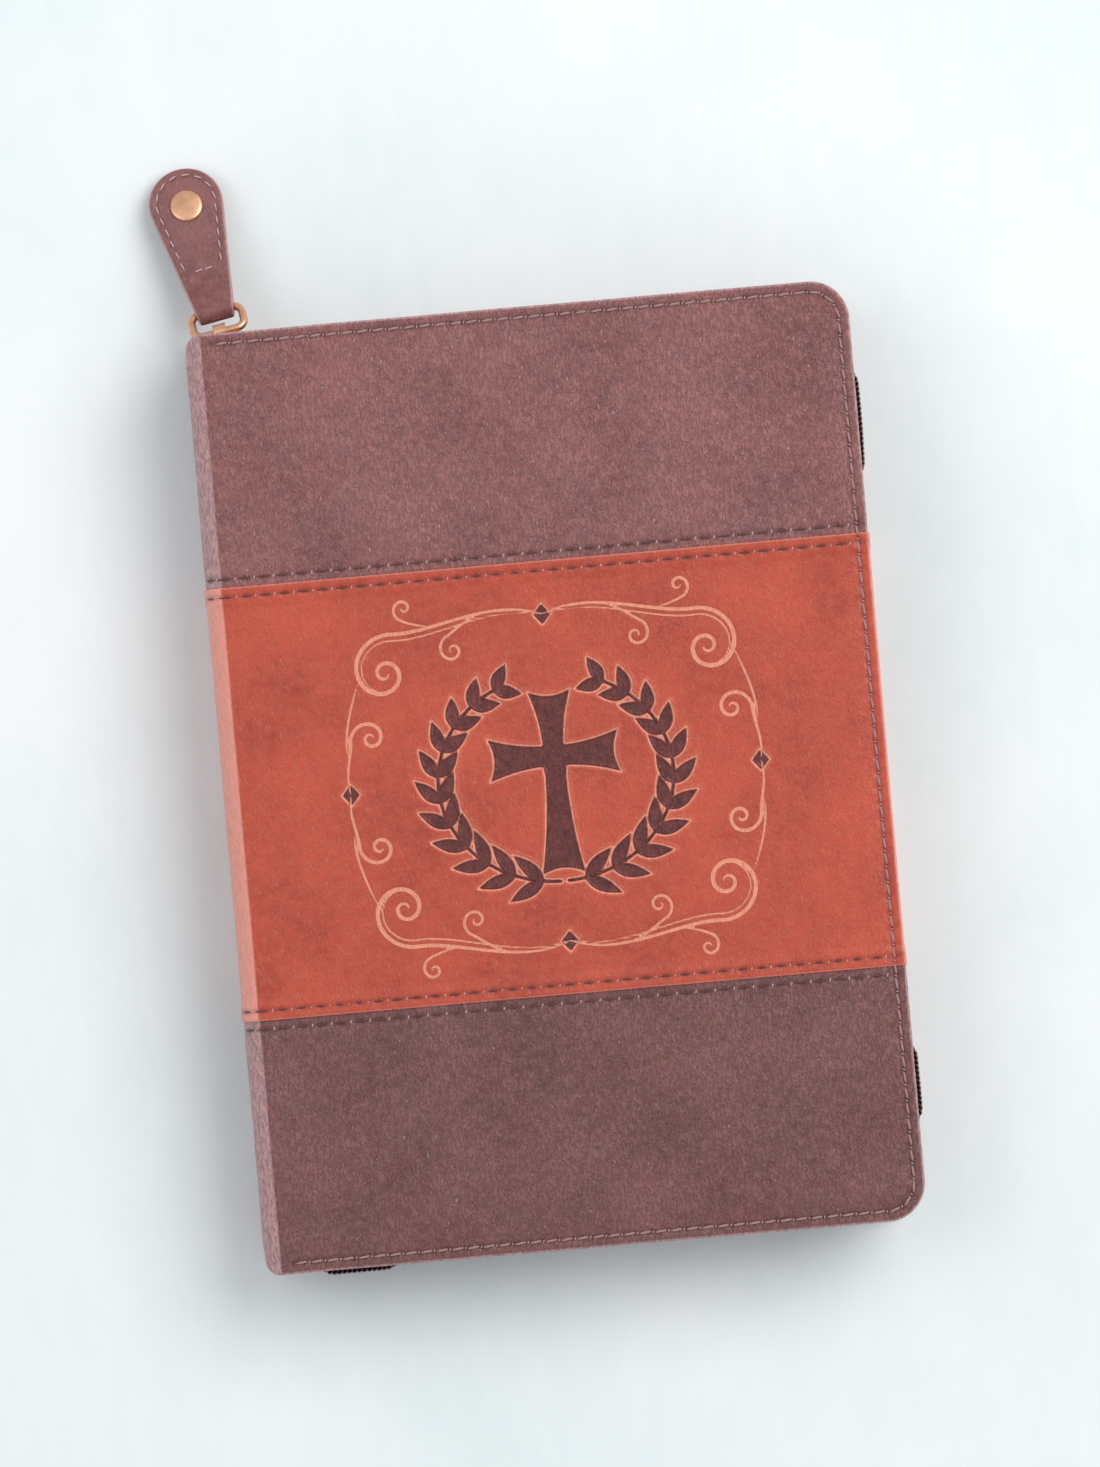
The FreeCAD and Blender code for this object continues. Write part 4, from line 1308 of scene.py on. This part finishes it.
def strap(pull, material):
    """The strap as one band of leather: down its face, round the ring's wire and back, with soft edges."""
    half, place, lean, taper = strap_side()
    outer, inner = strap_path(place)
    wrap = np.radians(np.linspace(90, -90, 15)[1:-1])
    wrap_y = -np.cos(wrap)
    wrap_half = STRAP_NECK_HALF + taper * (WRAP_OUTER * wrap_y - STRAP_NECK_Y)
    half = np.concatenate([half, wrap_half, half[::-1]])
    lean = np.concatenate([lean, np.zeros(len(wrap)), lean[::-1]])
    outer_y = np.concatenate([place, WRAP_OUTER * wrap_y, place[::-1]])
    inner_y = np.concatenate([place, (WRAP_OUTER - STRAP_LEATHER) * wrap_y, place[::-1]])
    outer_z = np.concatenate([outer, WRAP_OUTER * np.sin(wrap), -outer[::-1]])
    inner_z = np.concatenate([inner, (WRAP_OUTER - STRAP_LEATHER) * np.sin(wrap), -inner[::-1]])
    flat = np.concatenate([np.ones(len(place)), np.zeros(len(wrap)), np.ones(len(place))])
    # Each ring of the section is an inset from the outline and a share of the leather's thickness.
    rim = [(2.8, 0.0), (2.3, 0.03), (1.95, 0.13), (1.8, 0.17), (1.65, 0.13), (1.3, 0.02), (0.9, 0.0),
           (0.45, 0.03), (0.15, 0.16), (0.0, 0.4), (0.0, 0.7), (0.12, 0.92), (0.4, 1.0)]
    section = [(1, inset, share) for inset, share in rim]
    section += [(-1, inset, share) for inset, share in rim[::-1]]
    points = []
    rub = []
    for side, inset, share in section:
        grooved = np.where((flat > 0) & (outer_y > STRAP_ROW_START) | (inset < 1), share, 0.0)
        y = outer_y + (inner_y - outer_y) * grooved - inset * np.sin(lean) * flat
        z = outer_z + (inner_z - outer_z) * grooved
        x = side * (half - inset * np.cos(lean))
        points.append(np.stack([x, y, z], axis=1))
        # Painted sheen: the rings at the strap's edges are painted lighter.
        rub.append(np.full(len(x), float(0.05 < share < 0.95 and inset < 0.3)))
    points = np.stack(points, axis=1)
    rub = np.stack(rub, axis=1)
    faces = grid_faces(*points.shape[:2], close_columns=True)
    rest = points + [200, 300, 0]
    zero = np.zeros(rub.shape)
    piece = mesh_object("strap_leather", pull.place(points), faces[:, ::-1], material, rest=rest,
                        rub=rub, pucker=zero)
    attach(piece, "pull_tab")
    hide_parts("pull_strap")


def strap_stitches(pull, material):
    """Pale stitches inset round the strap's face, closed by two across its neck."""
    half, place, lean, _ = strap_side()
    keep = place > STRAP_ROW_START
    x = (half - STRAP_ROW_INSET * np.cos(lean))[keep]
    y = (place - STRAP_ROW_INSET * np.sin(lean))[keep]
    line_x = np.concatenate([x[::-1], -x[1:]])
    line_y = np.concatenate([y[::-1], y[1:]])
    run = np.concatenate([[0], np.cumsum(np.hypot(np.diff(line_x), np.diff(line_y)))])
    count = int(run[-1] / STRAP_PITCH)
    at = (np.arange(count) + 0.5) * run[-1] / count
    spots_x = np.interp(at, run, line_x)
    spots_y = np.interp(at, run, line_y)
    ahead = at + 0.3
    heading = np.arctan2(np.interp(ahead, run, line_y) - spots_y, np.interp(ahead, run, line_x) - spots_x)
    across = np.linspace(-1, 1, 4)[1:-1] * x[-1] * 0.8
    spots_x = np.concatenate([spots_x, across])
    spots_y = np.concatenate([spots_y, np.full(2, STRAP_ROW_START + 0.3)])
    heading = np.concatenate([heading, np.zeros(2)]) + math.radians(6)
    places = at_height(spots_x, spots_y, STRAP_LEATHER - 0.02)
    directions = at_height(np.cos(heading), np.sin(heading), 0.0)
    normals = np.tile([0.0, 0.0, 1.0], (len(heading), 1))
    axes = frames_from(directions, normals) @ pull.axes
    piece = add_stitches("strap_stitches", stitch_shape(STRAP_PITCH * 0.72, 0.42, 0.36),
                         pull.place(places), axes, material)
    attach(piece, "pull_tab")
    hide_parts("pull_thread")


def rivet(pull, material):
    """The snap cap: a low crown with a rolled rim, turned about the rivet's axis."""
    profile = [(0.0, 0.82), (1.2, 0.80), (2.2, 0.74), (2.9, 0.66), (3.35, 0.60), (3.62, 0.48),
               (3.78, 0.28), (3.8, 0.08), (3.7, 0.0), (3.0, -0.05)]
    radius, height = np.array(profile).T
    turn = np.arange(64) * 2 * math.pi / 64
    x = radius[:, None] * np.cos(turn)
    y = radius[:, None] * np.sin(turn) + STRAP_LENGTH - RIVET_FROM_END
    z = np.broadcast_to(height[:, None] + STRAP_LEATHER, x.shape)
    points = pull.place(np.stack([x, y, z], axis=-1))
    faces = grid_faces(*x.shape, close_columns=True)
    piece = mesh_object("rivet_crown", points, faces, material, rest=points)
    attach(piece, "pull_tab")
    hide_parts("rivet_cap")


def finish_cad_nodes(kinds, otherwise):
    """Gives every CAD node that still shows the finish of its material slot."""
    slots = {row["node"]: row["material_slot"] for row in frame["record"]["subparts"]}
    for name, node in frame["nodes"].items():
        node.data.materials.clear()
        node.data.materials.append(kinds.get(slots[name], otherwise))


def add_floor():
    """A wide square under the book."""
    size = 3000.0
    corners = [(-size, -size), (size, -size), (size, size), (-size, size)]
    floor = mesh_object("floor", [(x, y, FLOOR_Z) for x, y in corners], [(0, 1, 2, 3)], painted_floor())


def main():
    set_camera()
    set_light()
    brown = brown_leather("brown leather", 1.05, 1.0)
    # The tail strips get a darker copy of the brown leather: painted shade for the light falling off towards the
    # tail.
    shaded_tail_brown = brown_leather("brown leather tail", 0.90, 1.0)
    strap_brown = brown_leather("brown leather strap", 0.98, 0.4)
    orange = orange_leather()
    edge_thread = thread("edge thread", srgb(132, 88, 88), srgb(190, 148, 148))
    seam_thread = thread("seam thread", srgb(70, 28, 28), srgb(104, 52, 48))
    pale_thread = thread("pull thread", srgb(170, 128, 128), srgb(214, 180, 180))
    tape_cloth = woven("zip tape weave", "rest", srgb(84, 52, 52), srgb(124, 84, 82))
    coil = nylon()
    lining_cloth = woven("lining weave", "solid", srgb(86, 60, 54), srgb(122, 92, 84), 0.45)
    mull_cloth = woven("mull weave", "solid", srgb(206, 200, 188), srgb(236, 232, 222), 0.9)
    silk = woven("headband silk", "solid", srgb(150, 62, 44), srgb(226, 190, 160), 0.6, 0.5)
    pages = paper("page paper", srgb(244, 238, 224), srgb(236, 227, 208))
    flyleaf = paper("flyleaf paper", srgb(236, 224, 202), srgb(226, 212, 186))
    metal = copper()
    for side in ("front", "back"):
        wrap_piece(side, "head", brown)
        wrap_piece(side, "centre", orange)
        wrap_piece(side, "tail", shaded_tail_brown)
        edge_stitches(side, edge_thread, pale_thread)
        seam_stitches(side, seam_thread, pale_thread)
        zip_tape(side, tape_cloth)
        zip_teeth(side, coil)
    for side, leaves_body in (("back", "back_cover"), ("front", "front_leaves")):
        page_block(side + "_page_block", side + "_pages", pages, True)
        page_block(side + "_flyleaf_sheet", side + "_flyleaf", flyleaf, False)
    ribbon(satin_ribbon())
    swing = joints["strap_swing"]
    pull = PullFrame(np.array(swing["pos_m"]) / MM, np.array(swing["axis"], float), STRAP_SLOPE)
    strap(pull, strap_brown)
    strap_stitches(pull, pale_thread)
    rivet(pull, metal)
    kinds = {"board": board(), "lining": lining_cloth, "mull": mull_cloth, "headband": silk,
             "copper_metal": metal}
    finish_cad_nodes(kinds, brown)
    add_floor()


main()
